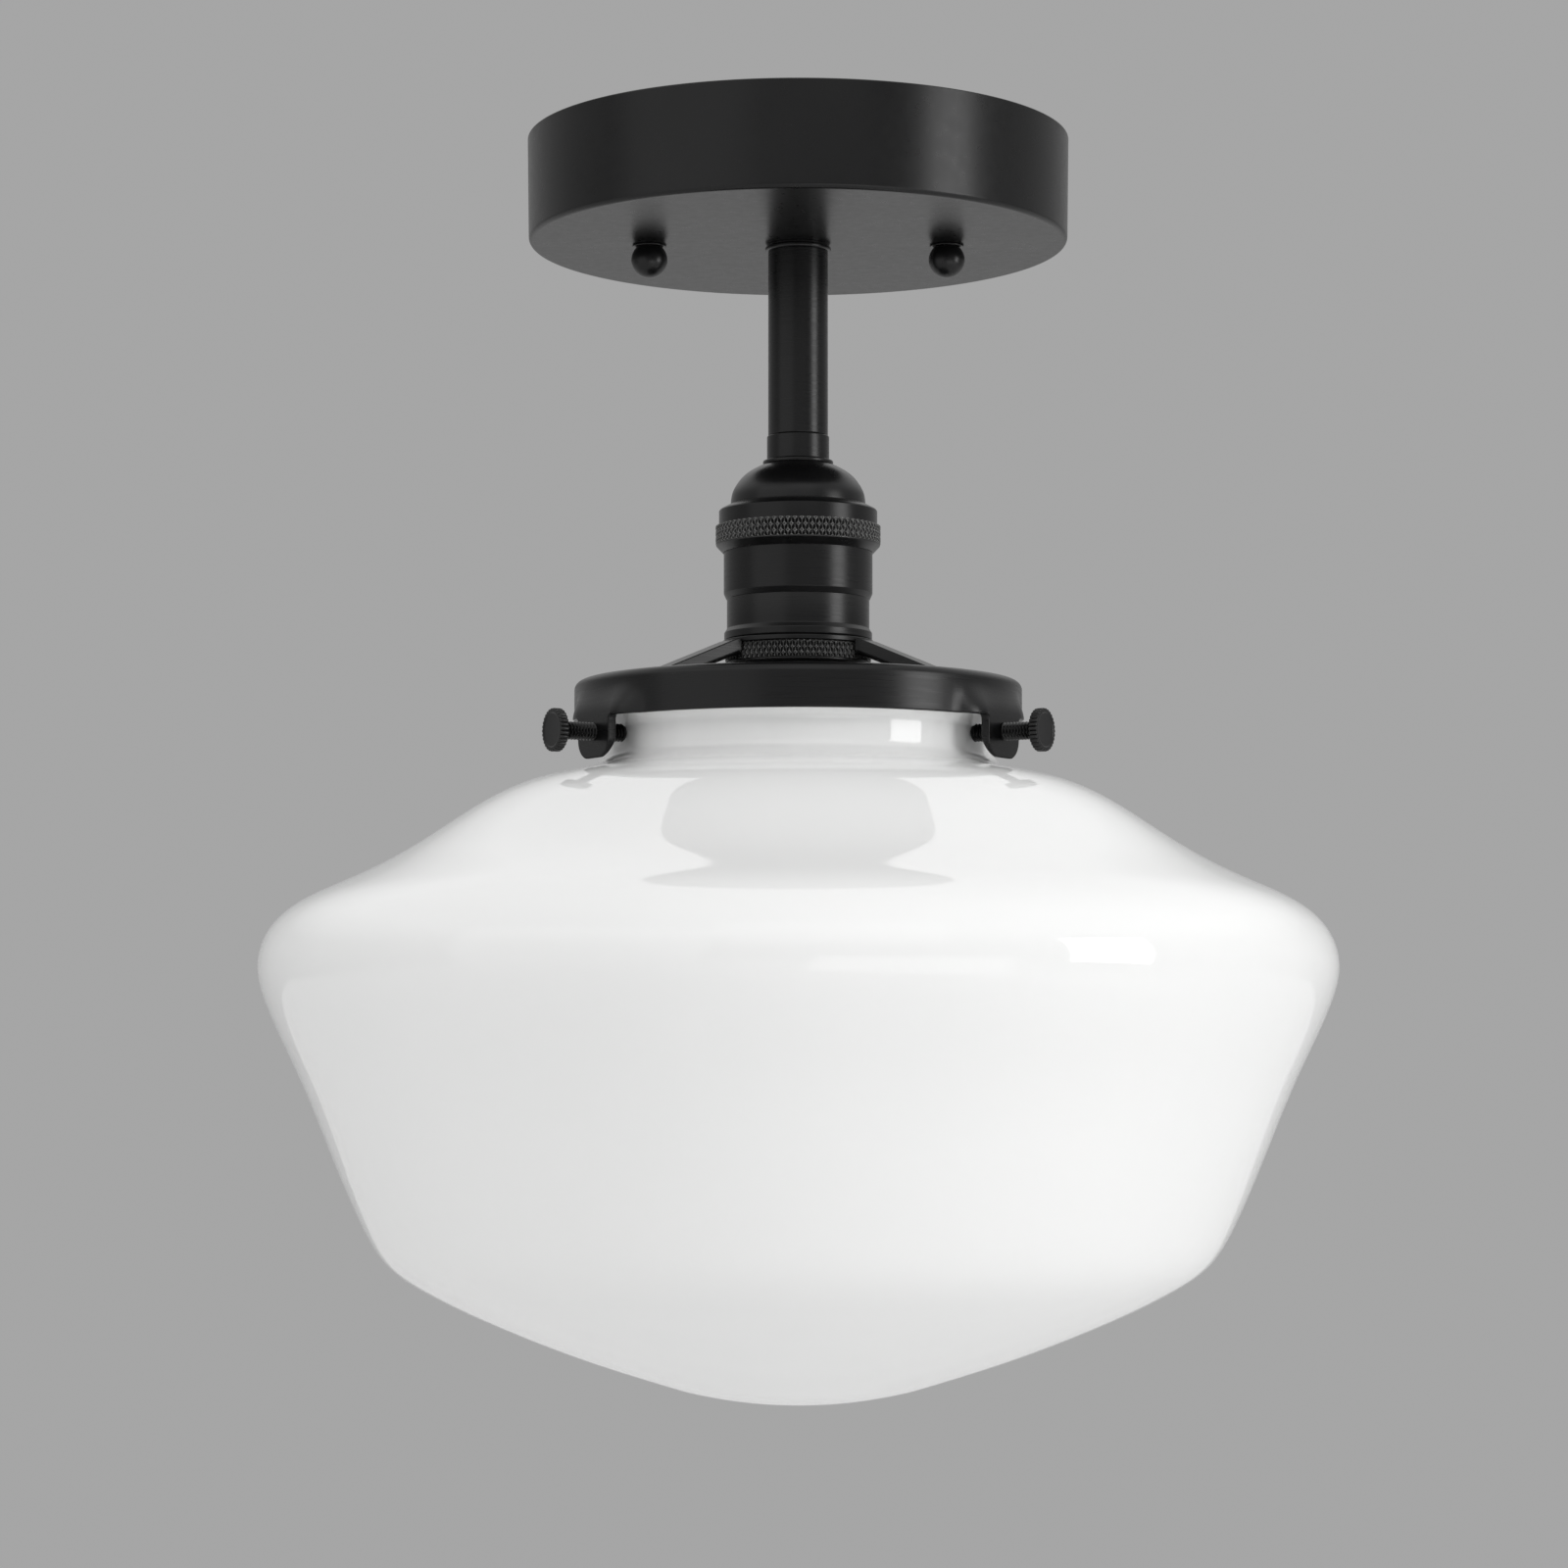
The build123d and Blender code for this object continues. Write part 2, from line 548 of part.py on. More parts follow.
def screw_shell():
    """Brass shell for the lamp's thread, open at the bottom, with a holed floor at the top."""
    shell = tube(LAMP_SHELL_R, LAMP_THREAD_R, LAMP_SHELL_TOP, LAMP_SHELL_BOTTOM)
    floor_bottom = LAMP_SHELL_TOP - LAMP_SHELL_WALL
    return shell + tube(LAMP_SHELL_R, LAMP_THREAD_R - LAMP_SHELL_FLOOR_WIDTH, LAMP_SHELL_TOP, floor_bottom)


def centre_contact():
    """Sprung brass tongue: its root stands in the porcelain and its tip meets the lamp."""
    root_top = LAMP_SHELL_TOP + TONGUE_ROOT_DEPTH - TONGUE_ROOT_CLEAR
    bend = LAMP_SHELL_TOP - TONGUE_ROOT_CLEAR
    centreline = [
        (TONGUE_ROOT_X, root_top),
        (TONGUE_ROOT_X, bend),
        (TONGUE_TIP_X, bend - TONGUE_DROP),
        (TONGUE_TIP_X + TONGUE_TIP_CURL, bend - TONGUE_DROP + TONGUE_TIP_CURL),
    ]
    line = Polyline(*centreline)
    strip = make_face(offset(line, TONGUE_THICK / 2, kind=Kind.INTERSECTION))
    return extrude(Plane.XZ * strip, TONGUE_WIDTH / 2, both=True)


def lead(side):
    """Insulated fixture wire from the porcelain up the nipple into the canopy."""
    wire_x = side * LEAD_IN_NIPPLE_X
    hole_x = side * LEAD_HOLE_X
    level = NIPPLE_TOP + LEAD_ABOVE_NIPPLE
    route = [
        (hole_x, 0, INSULATOR_TOP - LEAD_HOLE_DEPTH + SLIP_FIT),
        (hole_x, 0, INSULATOR_TOP + 2 * LEAD_R),
        (wire_x, 0, NIPPLE_BOTTOM - LEAD_R),
        (wire_x, 0, level),
        (side * LEAD_REACH_X, 0, level),
    ]
    path = FilletPolyline(*route, radius=LEAD_BENDS)
    section = Plane(origin=path @ 0, z_dir=path % 0) * Circle(LEAD_R)
    return sweep(section, path)


# ---------------------------------------------------------------- clamp ring and shade holder
def clamp_ring():
    """Fine-knurled ring that screws up under the spider's hub."""
    ring = tube(CLAMP_RING_R, HOLDER_THREAD_R + THREAD_FIT, CLAMP_RING_TOP, CLAMP_RING_BOTTOM)
    edges = circles_at(ring, CLAMP_RING_R, CLAMP_RING_TOP)
    edges += circles_at(ring, CLAMP_RING_R, CLAMP_RING_BOTTOM)
    return chamfer(edges, CLAMP_RING_CHAMFER)


def fitter_arm():
    """One spider arm along +X, from the hub plate down to the top flange."""
    root_r = CLAMP_RING_R + ARM_CLEAR
    arm_top = HUB_TOP - ARM_BELOW_HUB_TOP
    side_view = Polyline(
        (root_r, arm_top),
        (ARM_SHOULDER_R, arm_top),
        (FLANGE_INNER_R, FITTER_TOP),
        (ARM_END_R, FITTER_TOP),
        (ARM_END_R, FITTER_FLANGE_BOTTOM),
        (FLANGE_INNER_R - FITTER_WALL, FITTER_TOP - ARM_ROOT_HEIGHT + FITTER_WALL),
        (ARM_SHOULDER_R, HUB_TOP - ARM_ROOT_HEIGHT),
        (root_r, HUB_TOP - ARM_ROOT_HEIGHT),
        close=True,
    )
    return extrude(Plane.XZ * make_face(side_view), ARM_WIDTH / 2, both=True)


def fitter_ear():
    """One flat ear along +X that hangs from the wall and takes a thumb screw."""
    blend_r = EAR_FACE_R - EAR_BLEND_INSET
    root_r = EAR_FACE_R - EAR_ROOT_THICK
    side_view = Polyline(
        (EAR_FACE_R - EAR_TIP_THICK, EAR_BOTTOM),
        (EAR_FACE_R, EAR_BOTTOM),
        (EAR_FACE_R, FITTER_BOTTOM),
        (blend_r, FITTER_BOTTOM + EAR_BLEND_UP),
        (root_r, FITTER_BOTTOM + EAR_BLEND_UP),
        (root_r, FITTER_BOTTOM),
        (EAR_BACK_R, FITTER_BOTTOM - EAR_ROOT_DROP),
        (EAR_BACK_R, EAR_BOTTOM + EAR_LEAD_IN),
        close=True,
    )
    ear = extrude(Plane.XZ * make_face(side_view), EAR_HALF_WIDTH, both=True)
    corners = [
        edge
        for edge in ear.edges().filter_by(Axis.X)
        if abs(edge.center().Z - EAR_BOTTOM) < 0.01
    ]
    ear = fillet(corners, EAR_CORNER_R)
    hole = Pos(EAR_FACE_R, 0, THUMB_AXIS) * Rot(0, 90, 0) * Cylinder(SCREW_R + THREAD_FIT, 6 * EAR_THICK)
    return ear - hole


def fitter():
    """Shade holder: hub plate, spider arms, flanged wall and ears, as one casting."""
    wall = turned(
        (FLANGE_INNER_R, FITTER_TOP),
        (FITTER_R, FITTER_TOP),
        (FITTER_R, FITTER_BOTTOM),
        (FITTER_R - FITTER_WALL, FITTER_BOTTOM),
        (FITTER_R - FITTER_WALL, FITTER_FLANGE_BOTTOM),
        (FLANGE_INNER_R, FITTER_FLANGE_BOTTOM),
    )
    body = fillet(circles_at(wall, FITTER_R, FITTER_TOP), FITTER_EDGE_R)
    body += tube(HUB_R, HUB_HOLE_R, HUB_TOP, HUB_BOTTOM)
    for angle in ARM_ANGLES:
        body += Rot(0, 0, angle) * fitter_arm()
        body += Rot(0, 0, angle) * fitter_ear()
    return body


# ---------------------------------------------------------------- thumb screws
def along_x(shape):
    """Lay a piece made along +Z at the origin along +X at the thumb screws' height."""
    return Pos(0, 0, THUMB_AXIS) * Rot(0, 90, 0) * shape


def thumb_stud(angle):
    """Threaded stud from the glass's neck, through the ear, into the knurled head."""
    end_r = THUMB_HEAD_BACK_R + THUMB_HEAD_SOCKET - SEAT_GAP
    stud = rod(SCREW_R, end_r, THUMB_TIP_R)
    stud = chamfer(circles_at(stud, SCREW_R, THUMB_TIP_R), THUMB_TIP_CHAMFER)
    return Rot(0, 0, angle) * along_x(stud)


def thumb_head(angle):
    """Round head with straight ridges, chamfered, and a blind socket for the stud."""
    outline = []
    for i in range(THUMB_RIDGES):
        turn = 2 * pi * i / THUMB_RIDGES
        groove = turn + pi / THUMB_RIDGES
        groove_r = THUMB_HEAD_R - THUMB_RIDGE_DEPTH
        outline.append((THUMB_HEAD_R * cos(turn), THUMB_HEAD_R * sin(turn)))
        outline.append((groove_r * cos(groove), groove_r * sin(groove)))
    ridged = extrude(make_face(Polyline(*outline, close=True)), THUMB_HEAD_THICK)
    blank = chamfer(Cylinder(THUMB_HEAD_R, THUMB_HEAD_THICK).edges(), THUMB_HEAD_CHAMFER)
    head = ridged & Pos(0, 0, THUMB_HEAD_THICK / 2) * blank
    head -= rod(SCREW_R + THREAD_FIT, THUMB_HEAD_SOCKET, 0)
    return Rot(0, 0, angle) * along_x(Pos(0, 0, THUMB_HEAD_BACK_R) * head)


# ---------------------------------------------------------------- glass
def bowl(wall):
    """Solid inside the shade's skin, moved in by a wall's thickness: neck, bowl and round bottom."""
    outline = [(r, 0, z) for r, z in inset(BOWL_POINTS, wall)]
    neck_r = GLASS_NECK_R - wall
    neck_top = (neck_r, 0, GLASS_LIP_BOTTOM)
    neck_end = (neck_r, 0, GLASS_NECK_END)
    pole = (0, 0, GLASS_BOTTOM + wall)
    rim_slope = (Vector(outline[1]) - Vector(outline[0])).normalized()
    floor = TangentArc(pole, outline[-1], tangent=(1, 0, 0))
    skin = Spline(*outline, tangents=(rim_slope, -(floor % 1)), tangent_scalars=(1, 1))
    flare = Spline(neck_end, outline[0], tangents=((0, 0, -1), rim_slope), tangent_scalars=(1, 1))
    sides = Polyline(pole, (0, 0, GLASS_LIP_BOTTOM), neck_top, neck_end)
    return revolve(make_face(skin + flare + sides + floor), Axis.Z)


def glass_shade():
    """Blown shade: a lip that hangs on the thumb screws, a neck, and a closed bowl."""
    lip_side = GLASS_TOP - GLASS_LIP_HEIGHT / 2
    outer = bowl(0) + turned(
        (0, GLASS_TOP),
        (GLASS_LIP_R, GLASS_TOP),
        (GLASS_LIP_R, lip_side),
        (GLASS_NECK_R, GLASS_LIP_BOTTOM),
        (0, GLASS_LIP_BOTTOM),
    )
    inner = bowl(GLASS_WALL) + turned(
        (0, GLASS_TOP),
        (GLASS_LIP_MOUTH_R, GLASS_TOP),
        (GLASS_NECK_R - GLASS_WALL, GLASS_LIP_BOTTOM),
        (0, GLASS_LIP_BOTTOM),
    )
    return outer - inner


# ---------------------------------------------------------------- write every sub-part
SIDES = {"left": -1, "right": 1}
THUMB_PLACES = dict(zip(("back", "front_left", "front_right"), ARM_ANGLES))

save(crossbar(), "crossbar")
save(ground_screw(), "ground_screw")
save(canopy(), "canopy")
for name, side in SIDES.items():
    save(canopy_screw(side * SCREW_X), f"canopy_screw_{name}")
    save(lock_nut(side * SCREW_X), f"lock_nut_{name}")
    save(nut_washer(side * SCREW_X), f"nut_washer_{name}")
    save(ball_nut(side * SCREW_X), f"ball_nut_{name}")
save(threaded_nipple(), "threaded_nipple")
save(hex_nut(), "hex_nut")
save(lock_washer(), "lock_washer")
save(seat_ring(), "seat_ring")
save(stem_tube(), "stem_tube")
save(stem_coupling(), "stem_coupling")
save(lip_washer(), "lip_washer")
save(socket_cap(), "socket_cap")
save(cap_ring(), "cap_ring")
save(upper_shell(), "upper_shell")
save(lower_shell(), "lower_shell")
save(insulator_body(), "insulator_body")
save(screw_shell(), "screw_shell")
save(centre_contact(), "centre_contact")
save(lead(1), "lead_line")
save(lead(-1), "lead_neutral")
save(clamp_ring(), "clamp_ring")
save(fitter(), "fitter")
for name, angle in THUMB_PLACES.items():
    save(thumb_stud(angle), f"thumb_stud_{name}")
    save(thumb_head(angle), f"thumb_head_{name}")
save(glass_shade(), "glass_shade")
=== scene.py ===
"""Looks of the semi flush ceiling light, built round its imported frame.

Sizes are in millimetres, in the frame's own axes, and become metres where a mesh is made.
"""
from math import acos, atan, atan2, ceil, cos, pi, radians, sin, tan

import bmesh
import bpy
import numpy as np
from mathutils import Matrix, Vector


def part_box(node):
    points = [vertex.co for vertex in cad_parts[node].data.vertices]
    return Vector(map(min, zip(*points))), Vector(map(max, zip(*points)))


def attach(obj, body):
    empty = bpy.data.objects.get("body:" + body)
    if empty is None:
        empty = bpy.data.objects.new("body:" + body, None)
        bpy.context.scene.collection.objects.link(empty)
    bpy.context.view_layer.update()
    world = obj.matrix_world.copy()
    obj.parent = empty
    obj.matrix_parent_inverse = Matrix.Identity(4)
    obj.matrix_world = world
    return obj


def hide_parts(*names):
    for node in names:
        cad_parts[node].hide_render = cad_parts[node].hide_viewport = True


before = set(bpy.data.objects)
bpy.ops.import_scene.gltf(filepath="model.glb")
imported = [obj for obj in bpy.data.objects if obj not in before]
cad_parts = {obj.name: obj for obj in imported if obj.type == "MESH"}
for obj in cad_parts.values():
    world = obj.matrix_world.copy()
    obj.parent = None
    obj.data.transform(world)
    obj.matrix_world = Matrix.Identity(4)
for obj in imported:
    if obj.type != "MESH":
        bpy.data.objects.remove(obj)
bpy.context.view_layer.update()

MM = 0.001
SEGMENTS = 192
SIDES = {"left": -1, "right": 1}
EARS = {"back": 90.0, "front_left": 210.0, "front_right": 330.0}


# ---------------------------------------------------------------- places from the frame
def top(node):
    """Highest point of a frame node."""
    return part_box(node)[1].z / MM


def bottom(node):
    """Lowest point of a frame node."""
    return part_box(node)[0].z / MM


def radius(node):
    """Outer radius of a frame node that is turned about Z."""
    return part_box(node)[1].x / MM


def middle(node):
    """Centre of a frame node's box."""
    low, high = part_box(node)
    return (low + high) / 2 / MM


def half_width(node):
    """Half the size of a frame node along X."""
    low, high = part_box(node)
    return (high.x - low.x) / 2 / MM


def across_flats(node):
    """Size of a frame node along Y, which is a nut's width across its flats."""
    low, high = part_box(node)
    return (high.y - low.y) / MM


# ---------------------------------------------------------------- outlines
def rounded(corners, steps=5):
    """Outline with its corners rounded, from (radius, height, corner radius) points."""
    points = []
    for i, (r, z, fillet) in enumerate(corners):
        here = Vector((r, z))
        if not fillet:
            points.append((r, z))
            continue
        back = (Vector(corners[i - 1][:2]) - here).normalized()
        on = (Vector(corners[(i + 1) % len(corners)][:2]) - here).normalized()
        half = acos(max(-1.0, min(1.0, back.dot(on)))) / 2
        centre = here + (back + on).normalized() * fillet / sin(half)
        start = here + back * fillet / tan(half) - centre
        end = here + on * fillet / tan(half) - centre
        first = atan2(start.y, start.x)
        sweep = (atan2(end.y, end.x) - first + pi) % (2 * pi) - pi
        for k in range(steps + 1):
            turn = first + sweep * k / steps
            points.append((centre.x + fillet * cos(turn), centre.y + fillet * sin(turn)))
    return points


def run(start, end, step):
    """Points along a straight stretch of an outline, its far end left out."""
    start, end = np.array(start, float), np.array(end, float)
    count = max(1, ceil(np.linalg.norm(end - start) / step))
    return [tuple(start + (end - start) * k / count) for k in range(count)]


def smooth_curve(points, steps):
    """Natural cubic curve through points, by chord length, with some steps to each stretch."""
    points = np.array(points, float)
    chord = np.linalg.norm(np.diff(points, axis=0), axis=1)
    count = len(points)
    matrix, right = np.eye(count), np.zeros_like(points)
    for i in range(1, count - 1):
        matrix[i, i - 1 : i + 2] = chord[i - 1], 2 * (chord[i - 1] + chord[i]), chord[i]
        slope_on = (points[i + 1] - points[i]) / chord[i]
        slope_back = (points[i] - points[i - 1]) / chord[i - 1]
        right[i] = 6 * (slope_on - slope_back)
    bend = np.linalg.solve(matrix, right)
    curve = []
    for i in range(count - 1):
        for share in np.arange(steps) / steps:
            a, b = 1 - share, share
            place = a * points[i] + b * points[i + 1]
            sag = (a**3 - a) * bend[i] + (b**3 - b) * bend[i + 1]
            curve.append(tuple(place + sag * chord[i] ** 2 / 6))
    return curve + [tuple(points[-1])]


def moved_in(outline, distance):
    """An outline moved square to itself, to its left as it runs on."""
    line = np.array(outline, float)
    along = np.gradient(line, axis=0)
    along /= np.linalg.norm(along, axis=1)[:, None]
    return [tuple(p) for p in line + distance * np.stack([-along[:, 1], along[:, 0]], 1)]


def circle(r, x=0.0, y=0.0, count=48, start=0.0):
    """Points of a circle in the plane."""
    turns = [start + 2 * pi * k / count for k in range(count)]
    return [(x + r * cos(t), y + r * sin(t)) for t in turns]


# ---------------------------------------------------------------- meshes
WELD_DISTANCE = 1e-6
DRILL_REACH = 400


def linked(name, data):
    """New object in the scene, made from its data."""
    obj = bpy.data.objects.new(name, data)
    bpy.context.collection.objects.link(obj)
    return obj


def final_mesh(obj):
    """Mesh of an object with its curve or modifiers worked out."""
    graph = bpy.context.evaluated_depsgraph_get()
    return bpy.data.meshes.new_from_object(obj.evaluated_get(graph))


def welded(mesh):
    """Mesh to edit, its doubled points joined and its faces turned outwards."""
    bm = bmesh.new()
    bm.from_mesh(mesh)
    bmesh.ops.remove_doubles(bm, verts=bm.verts, dist=WELD_DISTANCE)
    bmesh.ops.recalc_face_normals(bm, faces=bm.faces)
    return bm


def weigh_wear_and_sheen(mesh):
    """Keep on each vertex how proud it stands, so that the finish is paler there: partly edge
    wear, partly a painted edge highlight.
    """
    count = len(mesh.vertices)
    place = np.empty(count * 3)
    normal = np.empty(count * 3)
    ends = np.empty(len(mesh.edges) * 2, int)
    mesh.vertices.foreach_get("co", place)
    mesh.vertex_normals.foreach_get("vector", normal)
    mesh.edges.foreach_get("vertices", ends)
    place, normal, ends = place.reshape(-1, 3), normal.reshape(-1, 3), ends.reshape(-1, 2)
    along = place[ends[:, 1]] - place[ends[:, 0]]
    along /= np.linalg.norm(along, axis=1)[:, None] + 1e-12
    proud, edges = np.zeros(count), np.zeros(count)
    for end, sign in ((0, -1), (1, 1)):
        lean = sign * (normal[ends[:, end]] * along).sum(1)
        np.add.at(proud, ends[:, end], lean)
        np.add.at(edges, ends[:, end], 1)
    wear_and_sheen = np.clip(4 * proud / np.maximum(edges, 1), 0, 1)
    mesh.attributes.new("wear_and_sheen", "FLOAT", "POINT").data.foreach_set("value", wear_and_sheen)


def piece(name, mesh, material, body, replaced=(), weighted=True, crease=40.0):
    """Finish a mesh as a named piece that rides on a body and stands for frame nodes."""
    bm = welded(mesh)
    bmesh.ops.delete(bm, geom=[e for e in bm.edges if not e.link_faces], context="EDGES")
    bm.to_mesh(mesh)
    bm.free()
    mesh.shade_smooth()
    mesh.set_sharp_from_angle(angle=radians(crease))
    weigh_wear_and_sheen(mesh)
    mesh.materials.clear()
    mesh.materials.append(material)
    obj = linked(name, mesh)
    if weighted:
        keeper = obj.modifiers.new("flat faces", "WEIGHTED_NORMAL")
        keeper.keep_sharp = True
    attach(obj, body)
    if replaced:
        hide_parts(*replaced)
    return obj


def mesh_of(name, points, faces):
    """Mesh from millimetre points."""
    mesh = bpy.data.meshes.new(name)
    mesh.from_pydata((np.array(points, float) * MM).tolist(), [], faces)
    return mesh


def grid_faces(rows, columns, loop_rows, loop_columns):
    """Quads of a grid of points, row by row, joined end to end where it loops."""
    return [
        (
            i * columns + j,
            i * columns + (j + 1) % columns,
            (i + 1) % rows * columns + (j + 1) % columns,
            (i + 1) % rows * columns + j,
        )
        for i in range(rows if loop_rows else rows - 1)
        for j in range(columns if loop_columns else columns - 1)
    ]


def turned(name, outline, segments=SEGMENTS, loop=True, relief=None):
    """Mesh turned about Z. relief(turn, radius, height) gives how far the surface is cut in."""
    r, z = np.array(outline, float).T
    turn = np.arange(segments) * 2 * pi / segments
    turn, r, z = turn[None, :], r[:, None], z[:, None]
    reach = r - relief(turn, r, z) if relief else r + 0 * turn
    points = np.stack([reach * np.cos(turn), reach * np.sin(turn), z + 0 * turn], -1)
    return mesh_of(name, points.reshape(-1, 3), grid_faces(len(outline), segments, loop, True))


def plate(name, loops, high, low, edge, steps=2):
    """Flat mesh cut from outlines: the first is its edge, the rest are holes."""
    curve = bpy.data.curves.new(name, "CURVE")
    curve.dimensions = "2D"
    curve.fill_mode = "BOTH"
    curve.extrude = ((high - low) / 2 - edge) * MM
    curve.bevel_depth = edge * MM
    curve.bevel_resolution = steps
    curve.offset = -edge * MM
    for loop in loops:
        spline = curve.splines.new("POLY")
        spline.points.add(len(loop) - 1)
        spline.points.foreach_set("co", [c for x, y in loop for c in (x * MM, y * MM, 0, 1)])
        spline.use_cyclic_u = True
    holder = linked(name, curve)
    mesh = final_mesh(holder)
    bpy.data.objects.remove(holder)
    mesh.transform(Matrix.Translation((0, 0, (high + low) / 2 * MM)))
    return mesh


def drilled(mesh, holes):
    """Mesh with round holes along Z, given as (radius, x, y)."""
    body = linked("blank", mesh)
    drills = []
    for r, x, y in holes:
        outline = [(0, DRILL_REACH), (r, DRILL_REACH), (r, -DRILL_REACH), (0, -DRILL_REACH)]
        drill_mesh = turned("drill", outline, 32, loop=False)
        drill_mesh.transform(Matrix.Translation((x * MM, y * MM, 0)))
        bm = welded(drill_mesh)
        bm.to_mesh(drill_mesh)
        bm.free()
        drill = linked("drill", drill_mesh)
        cut = body.modifiers.new("hole", "BOOLEAN")
        cut.operation = "DIFFERENCE"
        cut.object = drill
        drills.append(drill)
    cut_mesh = final_mesh(body)
    for leftover in [body, *drills]:
        bpy.data.objects.remove(leftover)
    return cut_mesh


def joined(name, meshes):
    """One mesh from several."""
    bm = bmesh.new()
    for mesh in meshes:
        bm.from_mesh(mesh)
    whole = bpy.data.meshes.new(name)
    bm.to_mesh(whole)
    bm.free()
    return whole


def softened(mesh, width, angle=50.0, steps=3):
    """Mesh with its sharp edges rounded off."""
    bm = welded(mesh)
    sharp = [e for e in bm.edges if e.is_manifold and e.calc_face_angle() > radians(angle)]
    bmesh.ops.bevel(
        bm, geom=sharp, offset=width * MM, segments=steps, profile=0.5, affect="EDGES"
    )
    bm.to_mesh(mesh)
    bm.free()
    return mesh


def wave(phase):
    """Straight-sided wave: 0 in a groove, 1 halfway between grooves."""
    return 1 - np.abs(2 * (phase - np.floor(phase)) - 1)


def thread(pitch, depth, high, low, over=0.0):
    """Relief of a screw thread between two heights, on the surface outside a radius."""

    def relief(turn, r, z):
        groove = 1 - np.clip(1.25 * wave(z / pitch - turn / (2 * pi)) - 0.125, 0, 1)
        fade = np.clip((high - z) / pitch, 0, 1) * np.clip((z - low) / pitch, 0, 1)
        return depth * groove * fade * (r > over)

    return relief


def diamonds(count, period, depth, high, low, over, flat=0.75):
    """Relief of a diamond knurl: two crossed sets of grooves, with blunt tops."""

    def relief(turn, r, z):
        around = count * turn / (2 * pi)
        height = np.minimum(wave(around + z / period), wave(around - z / period))
        inside = (z <= high + 1e-6) & (z >= low - 1e-6) & (r > over)
        return depth * (1 - np.clip(height / flat, 0, 1)) * inside

    return relief


def along_radius(mesh, angle, height):
    """Turn a mesh made about Z so that its axis runs outwards at an angle."""
    mesh.transform(Matrix.Rotation(pi / 2, 4, "Y"))
    mesh.transform(Matrix.Rotation(radians(angle), 4, "Z"))
    mesh.transform(Matrix.Translation((0, 0, height * MM)))
    return mesh


# ---------------------------------------------------------------- materials
def nodes_of(name):
    """New material with its node tree, shader and object coordinates."""
    material = bpy.data.materials.new(name)
    material.use_nodes = True
    tree = material.node_tree
    shader = tree.nodes["Principled BSDF"]
    place = tree.nodes.new("ShaderNodeTexCoord").outputs["Object"]
    return material, tree, shader, place


def noise(tree, place, scale, detail=3.0, stretch=(1.0, 1.0, 1.0)):
    """Noise output with features about a metre divided by scale across."""
    mapping = tree.nodes.new("ShaderNodeMapping")
    mapping.inputs["Scale"].default_value = stretch
    tree.links.new(place, mapping.inputs["Vector"])
    texture = tree.nodes.new("ShaderNodeTexNoise")
    texture.inputs["Scale"].default_value = scale
    texture.inputs["Detail"].default_value = detail
    tree.links.new(mapping.outputs["Vector"], texture.inputs["Vector"])
    return texture.outputs["Fac"]


def ranged(tree, source, low, high, source_low=0.3, source_high=0.7):
    """A source spread over a range."""
    spread = tree.nodes.new("ShaderNodeMapRange")
    spread.inputs["From Min"].default_value = source_low
    spread.inputs["From Max"].default_value = source_high
    spread.inputs["To Min"].default_value = low
    spread.inputs["To Max"].default_value = high
    tree.links.new(source, spread.inputs["Value"])
    return spread.outputs["Result"]


def mixed(tree, share, first, second):
    """Colour between two, each a colour or another node's output."""
    mix = tree.nodes.new("ShaderNodeMix")
    mix.data_type = "RGBA"
    tree.links.new(share, mix.inputs["Factor"])
    for socket, colour in (("A", first), ("B", second)):
        place = next(s for s in mix.inputs if s.name == socket and s.type == "RGBA")
        if isinstance(colour, tuple):
            place.default_value = (*colour, 1)
        else:
            tree.links.new(colour, place)
    return next(s for s in mix.outputs if s.type == "RGBA")


def bump(tree, shader, height, depth):
    """Small relief in the surface, its depth in millimetres."""
    relief = tree.nodes.new("ShaderNodeBump")
    relief.inputs["Strength"].default_value = 1.0
    relief.inputs["Distance"].default_value = depth * MM
    tree.links.new(height, relief.inputs["Height"])
    tree.links.new(relief.outputs["Normal"], shader.inputs["Normal"])


def satin_black(name, streaks, wear_and_sheen_tone=0.03, wear_and_sheen_share=0.45, bare=0.0):
    """Blackened metal: satin, with a faint cloud, a fine grain and paler proud edges, partly wear
    and partly a painted edge highlight.

    bare is how far the metal shows through at those paler proud edges.
    """
    material, tree, shader, place = nodes_of(name)
    cloud = ranged(tree, noise(tree, place, 60), 0, 1)
    tone = mixed(tree, cloud, (0.0028, 0.0028, 0.003), (0.0042, 0.0042, 0.0044))
    wear_and_sheen = tree.nodes.new("ShaderNodeAttribute")
    wear_and_sheen.attribute_name = "wear_and_sheen"
    share = ranged(tree, wear_and_sheen.outputs["Fac"], 0, wear_and_sheen_share, 0.15, 1)
    # paler colour on proud edges: partly wear, partly a painted edge highlight
    tone = mixed(tree, share, tone, (wear_and_sheen_tone, wear_and_sheen_tone, 0.98 * wear_and_sheen_tone))
    tree.links.new(tone, shader.inputs["Base Color"])
    if bare:
        shown = ranged(tree, wear_and_sheen.outputs["Fac"], 0, bare, 0.3, 1)
        tree.links.new(shown, shader.inputs["Metallic"])
    marks = noise(tree, place, 1.0, 2.0, (60, 60, 2600)) if streaks else noise(tree, place, 420)
    rough = (0.26, 0.33) if streaks else (0.27, 0.31)
    tree.links.new(ranged(tree, marks, *rough), shader.inputs["Roughness"])
    shader.inputs["Specular IOR Level"].default_value = 0.28
    grain = noise(tree, place, 1.0, 2.0, (90, 90, 2600)) if streaks else noise(tree, place, 3000)
    bump(tree, shader, grain, 0.003 if streaks else 0.004)
    return material


